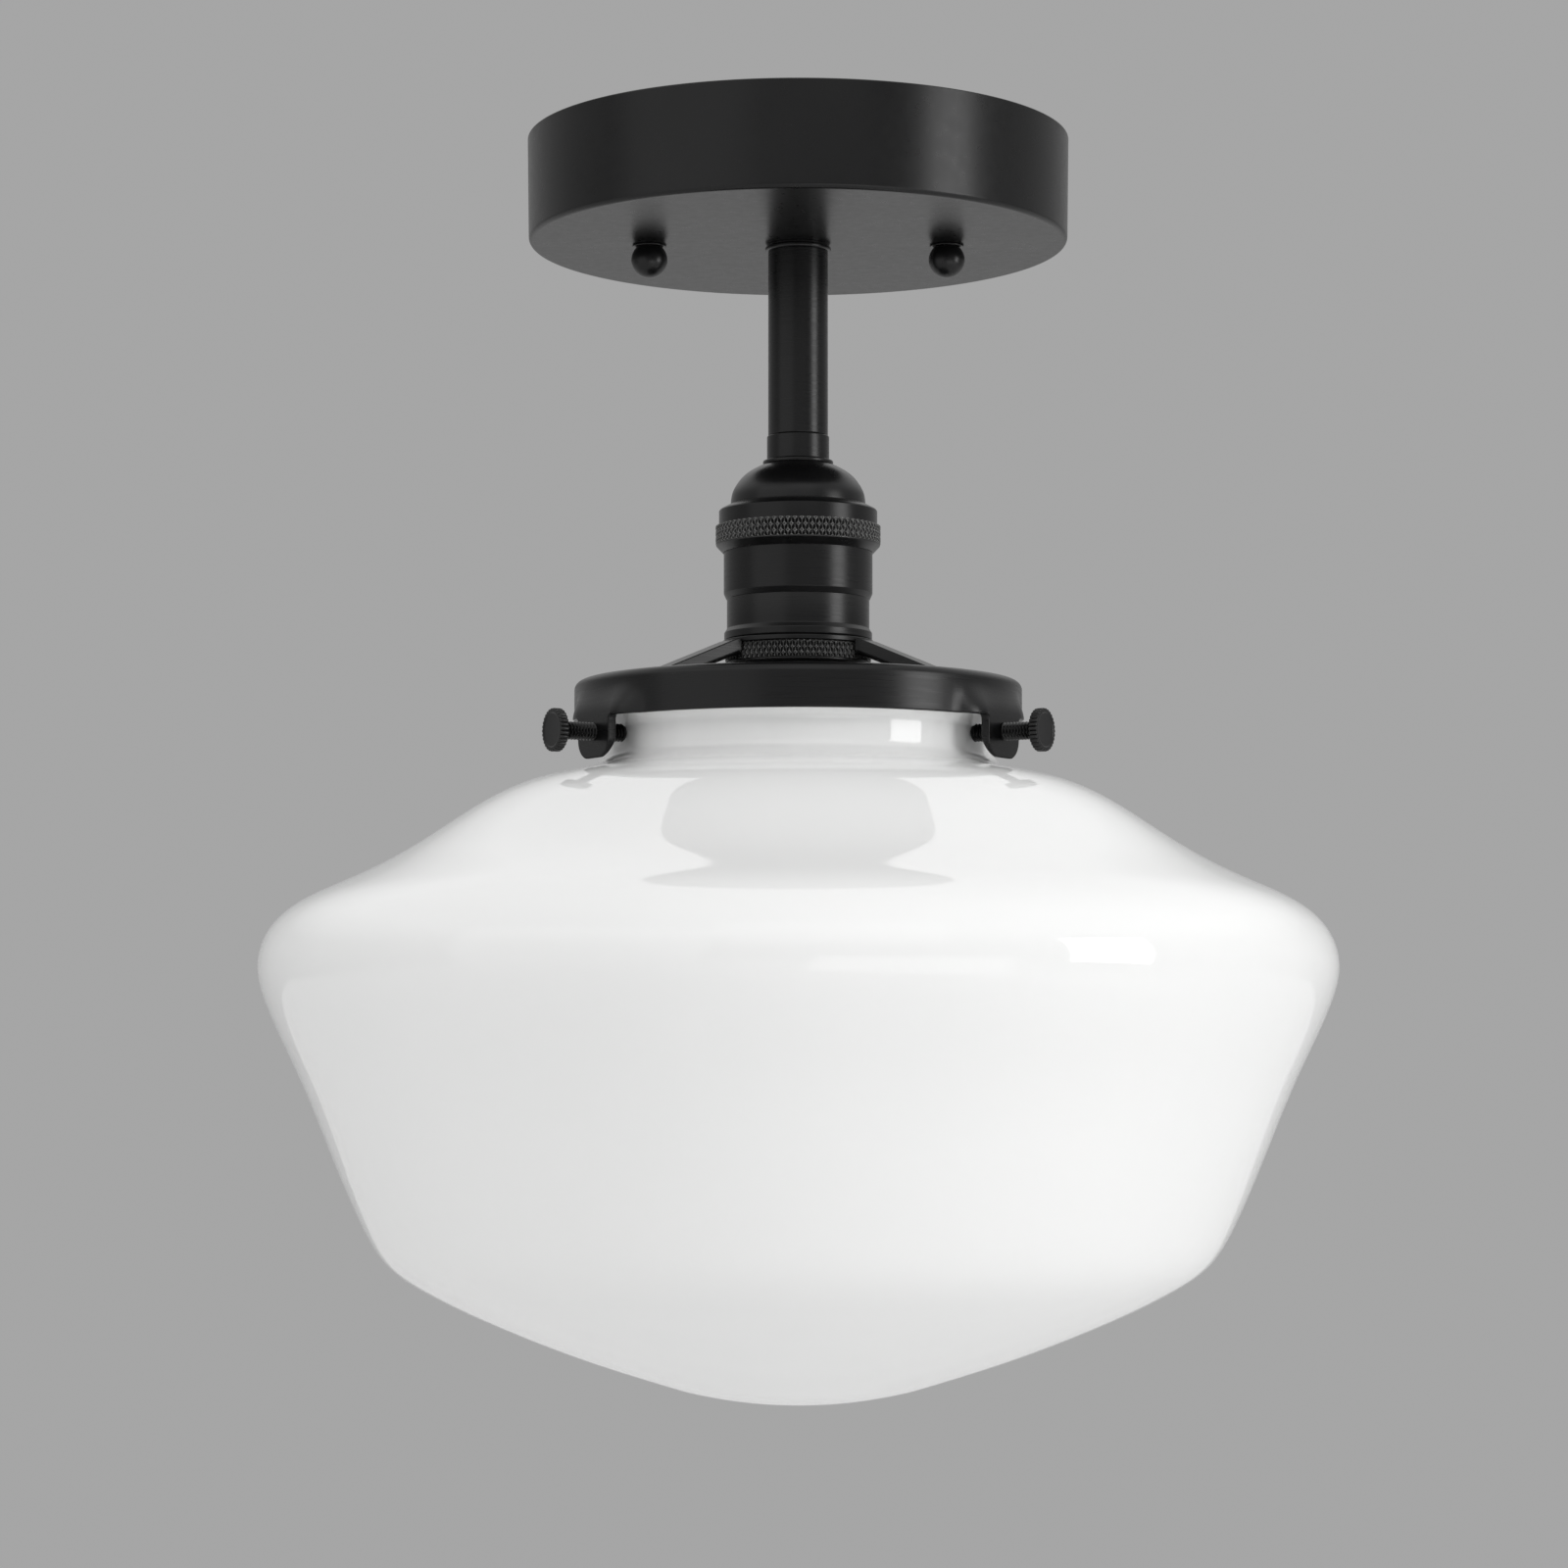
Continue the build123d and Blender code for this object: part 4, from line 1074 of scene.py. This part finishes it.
def holder_shell():
    """Flange, wall and ears of the shade holder as one closed skin."""
    wall_r, high = radius("fitter"), top("fitter") - FITTER_DROP
    inner_r, low = wall_r - FITTER_WALL, top("fitter") - FITTER_DROP - FITTER_HEIGHT
    back_r = EAR_FACE_R - EAR_THICK
    outer_drops = np.linspace(FITTER_HEIGHT, FITTER_EDGE, 11)[:-1]
    inner_drops = np.linspace(FITTER_WALL, FITTER_HEIGHT, 9)
    edge = [pi / 2 * k / 8 for k in range(9)]
    section = [(wall_r, drop, EAR_FACE_R) for drop in outer_drops]
    section += [
        (wall_r - FITTER_EDGE * (1 - cos(t)), FITTER_EDGE * (1 - sin(t)), EAR_FACE_R)
        for t in edge
    ]
    section += [(FLANGE_R, 0, FLANGE_R), (FLANGE_R, FITTER_WALL, FLANGE_R)]
    section += [(inner_r, drop, back_r) for drop in inner_drops]
    root = EAR_HALF + EAR_ROOT_CORNER
    pitch = 2 * pi / len(EARS) * EAR_FACE_R
    near = np.linspace(-root, root, 25)
    far = np.linspace(root, pitch - root, 61)[1:-1]
    columns = [
        (radians(angle) + off / EAR_FACE_R, off if off < pitch / 2 else off - pitch)
        for angle in EARS.values()
        for off in (*near, *far)
    ]
    points = []
    for r, drop, face_r in section:
        for turn, off in columns:
            reach = skin(r, face_r, off, drop)
            points.append((reach * cos(turn), reach * sin(turn), high - drop))
    width, count = len(columns), len(section)
    faces = grid_faces(count, width, False, True)
    ear_columns = len(near)
    for j in range(width):
        if j % (width // len(EARS)) >= ear_columns - 1:
            on = (j + 1) % width
            faces.append(((count - 1) * width + j, (count - 1) * width + on, on, j))
    rows = ear_rows(low - bottom("fitter"))
    for angle in EARS.values():
        start = len(points)
        for behind in (0, 1):
            for depth, half, thick in rows:
                for off in near / root * half:
                    turn = radians(angle) + off / EAR_FACE_R
                    reach = (EAR_FACE_R - thick * behind) / cos(off / EAR_FACE_R)
                    points.append((reach * cos(turn), reach * sin(turn), low - depth))
        sheet = len(rows) * ear_columns
        for front in (0, sheet):
            for a, b, c, d in grid_faces(len(rows), ear_columns, False, False):
                faces.append(tuple(start + front + k for k in (a, b, c, d)))
        for i in range(len(rows) - 1):
            for side in (0, ear_columns - 1):
                a = start + i * ear_columns + side
                faces.append((a, a + ear_columns, a + ear_columns + sheet, a + sheet))
        for j in range(ear_columns - 1):
            a = start + (len(rows) - 1) * ear_columns + j
            faces.append((a, a + 1, a + 1 + sheet, a + sheet))
    return softened(mesh_of("holder shell", points, faces), RIM_EDGE)


def holder_arm(angle):
    """One arm from the hub down to the flange: crisp above, rounded below."""
    high = top("fitter")
    flat = high - FITTER_DROP
    upper = rounded(
        [
            (ARM_ROOT_R, high - ARM_TOP_DROP, 0),
            (ARM_SHOULDER_R + 0.4, high - ARM_TOP_DROP, 1.0),
            (FLANGE_R + 0.5, flat + 0.1, 3.0),
            (ARM_END_R, flat + 0.1, 0),
        ],
        4,
    )
    lower = rounded(
        [
            (ARM_ROOT_R, high - ARM_DEPTH, 0),
            (ARM_SHOULDER_R, high - ARM_DEPTH, 2.0),
            (FLANGE_R - FITTER_WALL, flat - ARM_DEPTH + FITTER_WALL, 1.0),
            (ARM_END_R, flat - FITTER_WALL, 0),
        ],
        4,
    )
    stations = np.linspace(ARM_ROOT_R, ARM_END_R, 33)
    above = np.interp(stations, *np.array(upper).T)
    below = np.interp(stations, *np.array(lower).T)
    half, count = ARM_WIDTH / 2, 0
    points = []
    for x, z_high, z_low in zip(stations, above, below):
        loop = rounded(
            [
                (half, z_high, 0.3),
                (-half, z_high, 0.3),
                (-half, z_low, 1.2),
                (half, z_low, 1.2),
            ],
            4,
        )
        count = len(loop)
        points += [(x, y, z) for y, z in loop]
    faces = grid_faces(len(stations), count, False, True)
    faces += [tuple(range(count)), tuple(range(len(points) - count, len(points)))]
    mesh = mesh_of("arm", points, faces)
    mesh.transform(Matrix.Rotation(radians(angle), 4, "Z"))
    return mesh


def shade_holder():
    """Hub plate, three arms, flanged wall and ears."""
    high = top("fitter")
    hub_r = radius("clamp_ring") + HUB_BEYOND_RING
    hub = rounded(
        [
            (HUB_HOLE_R, high, 0.1),
            (hub_r, high, 0.15),
            (hub_r, high - HUB_THICK, 0.15),
            (HUB_HOLE_R, high - HUB_THICK, 0.1),
        ]
    )
    parts = [turned("hub", hub), holder_shell(), *(holder_arm(angle) for angle in EARS.values())]
    mesh = joined("holder", parts)
    piece("spider_holder", mesh, BLACK_TURNED, "shade_holder", ["fitter"])


# ---------------------------------------------------------------- thumb screws
THUMB_RIDGES = 30
THUMB_RIDGE_DEPTH = 0.32
THUMB_EDGE = 0.3
THUMB_SOCKET = 1.5


def thumb_screws():
    """Three threaded studs with ridged heads."""
    back = "thumb_stud_back"
    height = middle(back).z
    tip_r, end_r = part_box(back)[0].y / MM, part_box(back)[1].y / MM
    r = half_width(back)
    low, high = (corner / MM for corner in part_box("thumb_head_back"))
    head_r, head_back, head_face = high.x, low.y, high.y

    def ridges(turn, radial, z):
        rib = np.clip(1.6 * wave(THUMB_RIDGES * turn / (2 * pi)), 0, 1)
        return THUMB_RIDGE_DEPTH * (1 - rib) * (radial > head_r - THUMB_EDGE - 0.01)

    socket = head_back + THUMB_SOCKET
    profile = rounded(
        [
            (0, head_face - 0.15, 0),
            (head_r - 1.2, head_face - 0.15, 0.3),
            (head_r - 0.9, head_face, 0.2),
            (head_r, head_face, THUMB_EDGE),
            (head_r, head_back, THUMB_EDGE),
            (r + 0.05, head_back, 0.1),
            (r + 0.05, socket, 0),
            (0, socket, 0),
        ],
        4,
    )
    for name, angle in EARS.items():
        node = f"thumb_stud_{name}"
        mesh = screw_mesh(node, r, end_r, tip_r, SCREW_PITCH, THREAD_DEPTH, segments=48)
        mesh = along_radius(mesh, angle, height)
        piece(f"threads_{node}", mesh, BLACK, node, [node], weighted=False)
        node = f"thumb_head_{name}"
        mesh = turned(node, profile, THUMB_RIDGES * 8, loop=False, relief=ridges)
        mesh = along_radius(mesh, angle, height)
        piece(f"ridged_{node}", mesh, BLACK, node, [node], crease=30)


# ---------------------------------------------------------------- glass
GLASS_WALL = 3.0
GLASS_LIP_FIT = 1.1
GLASS_LIP_THICK = 4.0
GLASS_LIP_OVERHANG = 3.8
GLASS_LIP_HEIGHT = 6.6
GLASS_NECK_DROP = 6.2
GLASS_OUTLINE = (
    (53.0, 11.0),
    (62.4, 13.2),
    (71.8, 17.3),
    (83.7, 24.9),
    (96.1, 32.4),
    (107.4, 37.7),
    (116.4, 42.3),
    (122.0, 47.8),
    (124.5, 55.6),
    (122.5, 64.8),
    (115.1, 80.9),
    (107.1, 100.0),
    (100.5, 115.0),
    (94.6, 124.3),
    (86.4, 130.2),
    (69.8, 138.2),
    (49.8, 146.0),
    (27.9, 153.0),
)


def flare(start, end, slope, pull):
    """Curve from straight down at its start to a slope at its end."""
    start, end = np.array(start), np.array(end)
    handles = start, start - (0, pull), end - pull * np.array(slope), end
    curve = []
    for t in np.linspace(0, 1, 9)[:-1]:
        shares = (1 - t) ** 3, 3 * t * (1 - t) ** 2, 3 * t * t * (1 - t), t**3
        curve.append(tuple(sum(share * handle for share, handle in zip(shares, handles))))
    return curve


def glass():
    """Blown shade: a rounded lip, a neck, wide shoulders and a closed bottom."""
    high, low = top("glass_shade"), bottom("glass_shade")
    wall_low = top("fitter") - FITTER_DROP - FITTER_HEIGHT
    lip_r = radius("fitter") - FITTER_WALL - GLASS_LIP_FIT
    neck_r, lip_low = lip_r - GLASS_LIP_OVERHANG, high - GLASS_LIP_HEIGHT
    bowl = [(r, wall_low - drop) for r, drop in GLASS_OUTLINE]
    last_r, last_z = bowl[-1]
    rise = last_z - low
    floor_r = (last_r**2 + rise**2) / (2 * rise)
    spread = atan(last_r / (floor_r - rise))
    floor = [
        (floor_r * sin(spread * k / 8), low + floor_r * (1 - cos(spread * k / 8)))
        for k in range(7, -1, -1)
    ]
    bowl = smooth_curve(bowl, 6)
    slope = np.array(bowl[1]) - np.array(bowl[0])
    slope /= np.linalg.norm(slope)
    neck_end = (neck_r, wall_low - GLASS_NECK_DROP)
    widest = max(r for r, z in bowl)
    bowl = [(min(r, radius("glass_shade")) if r > widest - 0.2 else r, z) for r, z in bowl]
    outer = flare(neck_end, bowl[0], slope, 3.6) + bowl + floor
    inner = moved_in(outer, -GLASS_WALL)
    inner = [(max(r, 0), z) for r, z in inner[:-1]] + [(0, low + GLASS_WALL)]
    neck_in = neck_r - GLASS_WALL
    lip = rounded(
        [
            (neck_in, lip_low - 1, 0),
            (neck_in, lip_low + 0.5, 1.0),
            (lip_r - GLASS_LIP_THICK, high, 1.4),
            (lip_r, high, 1.6),
            (lip_r, high - GLASS_LIP_HEIGHT / 2, 2.2),
            (neck_r, lip_low, 1.6),
            (neck_r, lip_low - 2.5, 0),
        ],
        6,
    )
    mesh = turned("glass", [*inner[::-1], *lip, *outer], 256, loop=False)
    piece("blown_shade", mesh, GLASS, "shade_holder", ["glass_shade"])


# ---------------------------------------------------------------- set
FLOOR_DEPTH = 0.75
FLOOR_REACH = 3.0
ROOM_LEVELS = ((-1.0, 0.36), (-0.13, 0.38), (0.26, 0.38), (0.55, 1.0), (1.0, 1.0))
CAMERA_PLACE = (-0.0033, -0.9597, -0.220)
CAMERA_TILT = 94.09
CAMERA_LENS = 94.9


def set_floor():
    """Plain pale floor well below the light."""
    mesh = bpy.data.meshes.new("floor")
    corners = [
        (x * FLOOR_REACH, y * FLOOR_REACH, -FLOOR_DEPTH)
        for x, y in ((-1, -1), (1, -1), (1, 1), (-1, 1))
    ]
    mesh.from_pydata(corners, [], [(0, 1, 2, 3)])
    material, tree, shader, place = nodes_of("floor paint")
    shader.inputs["Roughness"].default_value = 0.7
    cloud = ranged(tree, noise(tree, place, 3), 0, 1)
    tone = mixed(tree, cloud, (0.7, 0.7, 0.7), (0.74, 0.74, 0.74))
    tree.links.new(tone, shader.inputs["Base Color"])
    mesh.materials.append(material)
    floor = linked("floor", mesh)


def lamp(name, place, target, size, power):
    """Soft rectangular lamp that looks at a point, its power in watts."""
    light = bpy.data.lights.new(name, "AREA")
    light.shape = "RECTANGLE"
    light.size, light.size_y = size
    light.energy = power
    obj = linked(name, light)
    obj.location = place
    obj.rotation_euler = (Vector(target) - Vector(place)).to_track_quat("-Z", "Y").to_euler()


def lights():
    """Key from the camera's right, a broad fill from its left, weak lamps above and below."""
    centre = (0, 0, -0.16)
    lamp("key", (1.5, -0.7, 0.0), centre, (0.6, 0.9), 9.0)
    lamp("fill", (-1.6, -1.5, 0.3), centre, (2.4, 2.0), 8.0)
    lamp("front", (0.3, -2.2, 1.1), centre, (2.0, 1.6), 4.0)
    lamp("under", (0.5, -1.2, -0.7), centre, (1.0, 0.8), 2.4)


def room():
    """Soft room all round: grey below and at eye level, rising to white above."""
    world = bpy.data.worlds.new("room")
    bpy.context.scene.world = world
    world.use_nodes = True
    tree = world.node_tree
    tree.nodes.clear()
    place = tree.nodes.new("ShaderNodeTexCoord")
    split = tree.nodes.new("ShaderNodeSeparateXYZ")
    tree.links.new(place.outputs["Generated"], split.inputs["Vector"])
    ramp = tree.nodes.new("ShaderNodeValToRGB")
    for k, (rise, level) in enumerate(ROOM_LEVELS):
        at = (rise + 1) / 2
        stop = ramp.color_ramp.elements[k] if k < 2 else ramp.color_ramp.elements.new(at)
        stop.position = at
        stop.color = (level, level, level, 1)
    spread = ranged(tree, split.outputs["Z"], 0, 1, -1, 1)
    tree.links.new(spread, ramp.inputs["Fac"])
    soft = tree.nodes.new("ShaderNodeBackground")
    tree.links.new(ramp.outputs["Color"], soft.inputs["Color"])
    end = tree.nodes.new("ShaderNodeOutputWorld")
    tree.links.new(soft.outputs["Background"], end.inputs["Surface"])


def camera():
    """Camera at the photograph's height, a little below the holder and looking slightly up."""
    lens = bpy.data.cameras.new("camera")
    lens.sensor_width = 36
    lens.lens = CAMERA_LENS
    lens.clip_end = 20
    obj = linked("camera", lens)
    obj.location = CAMERA_PLACE
    obj.rotation_euler = (radians(CAMERA_TILT), 0, 0)
    bpy.context.scene.camera = obj
    bpy.context.scene.view_settings.view_transform = "Standard"


strap()
ceiling_hardware()
canopy()
ball_nuts()
stem()
socket_cap()
cap_ring()
shells()
lamp_socket()
leads()
clamp_ring()
shade_holder()
thumb_screws()
glass()
set_floor()
lights()
room()
camera()
